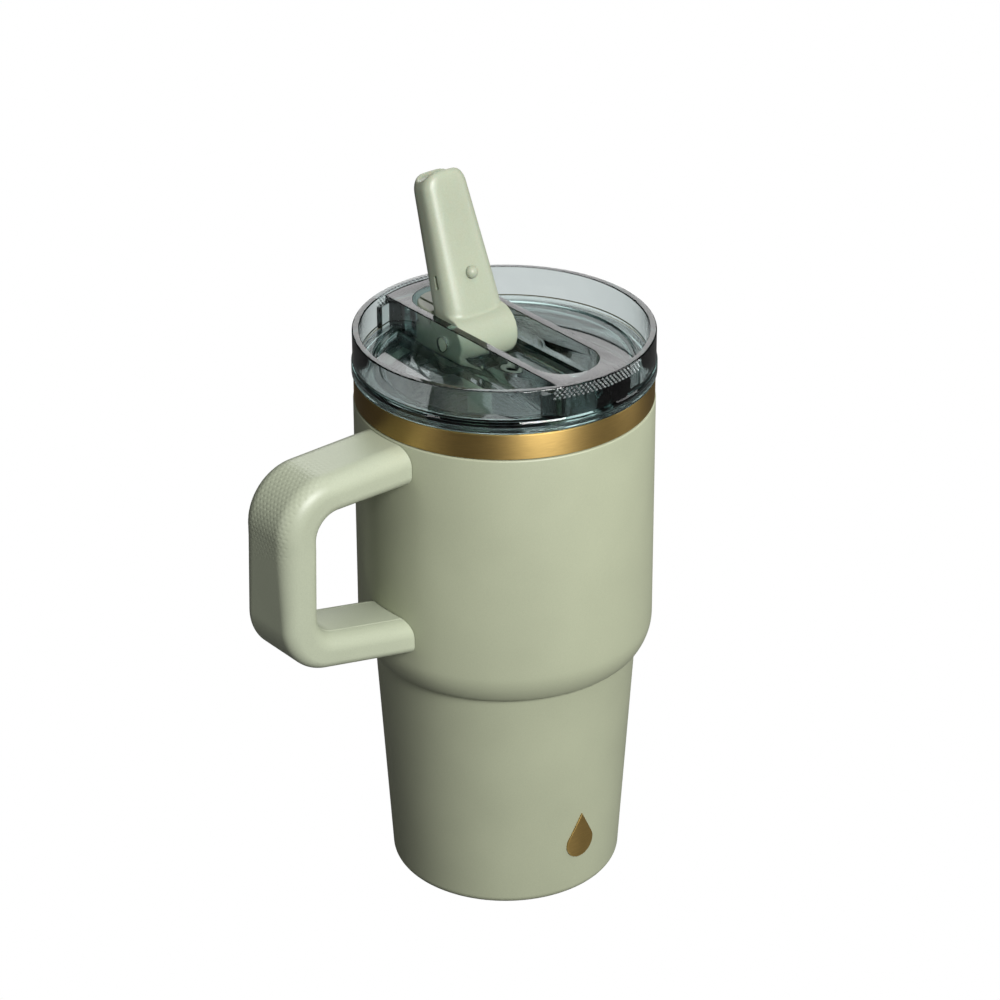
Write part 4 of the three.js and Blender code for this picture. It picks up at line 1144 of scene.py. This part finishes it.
def barrel_ring():
    """The ring under the barrel, hollowed on top to the barrel's roundness."""
    high = PIVOT.z - 6.8 * MM
    ring = add_object("barrel_ring", turned_form(rounded([
        (2.7 * MM, SEAL_BOTTOM + 1 * MM, 0),
        (2.7 * MM, SEAL_BOTTOM, 0.2 * MM),
        (SEAL_RADIUS, SEAL_BOTTOM, 0.3 * MM),
        (SEAL_RADIUS, high, 0.3 * MM),
        (2.7 * MM, high, 0.2 * MM),
        (2.7 * MM, SEAL_BOTTOM + 1 * MM, 0),
    ], 4), 64, (0, PIVOT.y)), seal_rubber)
    combine(ring, side_axle(8.3 * MM, -0.02, 0.02, PIVOT.y, PIVOT.z, 128), "DIFFERENCE")
    return ring


def vent_ring():
    """The vent's grommet, flush with the floor of the slot."""
    low = SLOT_FLOOR - 1.2 * MM
    section = rounded([
        (2.2 * MM, low + 0.6 * MM, 0),
        (2.2 * MM, low, 0.15 * MM),
        (3.7 * MM, low, 0.2 * MM),
        (3.7 * MM, SLOT_FLOOR, 0.25 * MM),
        (2.2 * MM, SLOT_FLOOR, 0.3 * MM),
        (2.2 * MM, low + 0.6 * MM, 0),
    ], 4)
    return add_object("vent_ring", turned_form(section, 64, (0, VENT_Y)), seal_rubber)


for ring, node in ((barrel_ring(), "barrel_seal"), (vent_ring(), "vent_seal")):
    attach(ring, "lid")
    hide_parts(node)

# ---------------------------------------------------------------------------
# Straw. A stiff extruded tube with softened ends, pushed on the nipple under
# the lid, that reaches nearly to the floor of the cup.
# ---------------------------------------------------------------------------

straw_plastic = coated("straw_plastic", (0.50, 0.545, 0.43), 0.36, 2200.0, 0.02 * MM)
STRAW_LOW, STRAW_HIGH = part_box("straw")[0].z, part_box("straw")[1].z
straw_section = rounded([
    (3.65 * MM, 0.08, 0),
    (3.65 * MM, STRAW_LOW, 0.2 * MM),
    (4.3 * MM, STRAW_LOW, 0.25 * MM),
    (4.3 * MM, STRAW_HIGH, 0.25 * MM),
    (3.65 * MM, STRAW_HIGH, 0.2 * MM),
    (3.65 * MM, 0.08, 0),
], 4)
straw = add_object("drinking_straw", turned_form(straw_section, 64, (0, PIVOT.y)), straw_plastic)
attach(straw, "lid")
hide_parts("straw")

# ---------------------------------------------------------------------------
# Setting. A plain pale floor, a pale surround, five soft lights from in front,
# either side, above and behind, and the camera.
# ---------------------------------------------------------------------------


def pale_floor():
    """A pale matt floor that stays bright under soft light."""
    form = bmesh.new()
    bmesh.ops.create_grid(form, x_segments=1, y_segments=1, size=4.0)
    bmesh.ops.translate(form, vec=(0, 0, -0.2 * MM), verts=form.verts)
    material, add, link, shader = nodes_of("pale_floor")
    shader.inputs["Base Color"].default_value = (0.10, 0.10, 0.10, 1)
    shader.inputs["Roughness"].default_value = 0.9
    shader.inputs["Specular IOR Level"].default_value = 0.0
    glow = add("ShaderNodeEmission", {"Color": (1, 1, 1, 1), "Strength": 1.0})
    path = add("ShaderNodeLightPath")
    seen = add("ShaderNodeMath", {0: path.outputs["Is Camera Ray"], 1: path.outputs["Is Transmission Ray"]},
               operation="MAXIMUM").outputs[0]
    pick = add("ShaderNodeMixShader", {0: seen, 1: shader.outputs[0], 2: glow.outputs[0]})
    link(pick.outputs[0], material.node_tree.nodes["Material Output"].inputs["Surface"])
    return add_object("floor", form, material)


def pale_world():
    """A surround that is white to look at and through, and dim as a light."""
    world = bpy.data.worlds.new("surround")
    world.use_nodes = True
    tree = world.node_tree
    path = tree.nodes.new("ShaderNodeLightPath")
    seen = tree.nodes.new("ShaderNodeMath")
    seen.operation = "MAXIMUM"
    tree.links.new(path.outputs["Is Camera Ray"], seen.inputs[0])
    tree.links.new(path.outputs["Is Transmission Ray"], seen.inputs[1])
    strength = tree.nodes.new("ShaderNodeMapRange")
    strength.inputs["To Min"].default_value = 0.045
    strength.inputs["To Max"].default_value = 1.0
    tree.links.new(seen.outputs[0], strength.inputs["Value"])
    tree.nodes["Background"].inputs["Color"].default_value = (1, 1, 1, 1)
    tree.links.new(strength.outputs["Result"], tree.nodes["Background"].inputs["Strength"])
    bpy.context.scene.world = world


def softbox(name, azimuth, elevation, distance, width, height, power):
    """A rectangular soft light aimed at the middle of the tumbler; azimuth 0 is in front, along -Y."""
    data = bpy.data.lights.new(name, "AREA")
    data.shape = "RECTANGLE"
    data.size = width
    data.size_y = height
    data.energy = power
    lamp = bpy.data.objects.new(name, data)
    bpy.context.scene.collection.objects.link(lamp)
    a, e = math.radians(azimuth), math.radians(elevation)
    back = Vector((math.sin(a) * math.cos(e), -math.cos(a) * math.cos(e), math.sin(e)))
    lamp.location = Vector((0, 0, 0.1)) + back * distance
    lamp.rotation_euler = (-back).to_track_quat("-Z", "Y").to_euler()


pale_floor()
pale_world()
softbox("key_light", -8, 33, 2.0, 1.0, 0.8, 53.0)
softbox("side_light", 62, 25, 1.2, 0.4, 1.0, 2.6)
softbox("top_light", 20, 78, 1.0, 0.8, 0.8, 2.4)
softbox("back_light", 140, 30, 1.4, 0.8, 0.8, 5.0)
softbox("left_strip", -95, 20, 1.3, 0.2, 0.8, 1.5)

camera = bpy.data.objects.new("camera", bpy.data.cameras.new("camera"))
bpy.context.scene.collection.objects.link(camera)
camera.location = (-0.59315, -0.73824, 0.61501)
aim = Vector((-0.0011, 0.0009, 0.1216)) - camera.location
roll = Matrix.Rotation(math.radians(-0.19), 4, "Z")
camera.rotation_euler = (aim.to_track_quat("-Z", "Y").to_matrix().to_4x4() @ roll).to_euler()
camera.data.lens = 128.77
camera.data.sensor_width = 36
camera.data.clip_start = 0.01
bpy.context.scene.camera = camera
bpy.context.scene.view_settings.view_transform = "Standard"
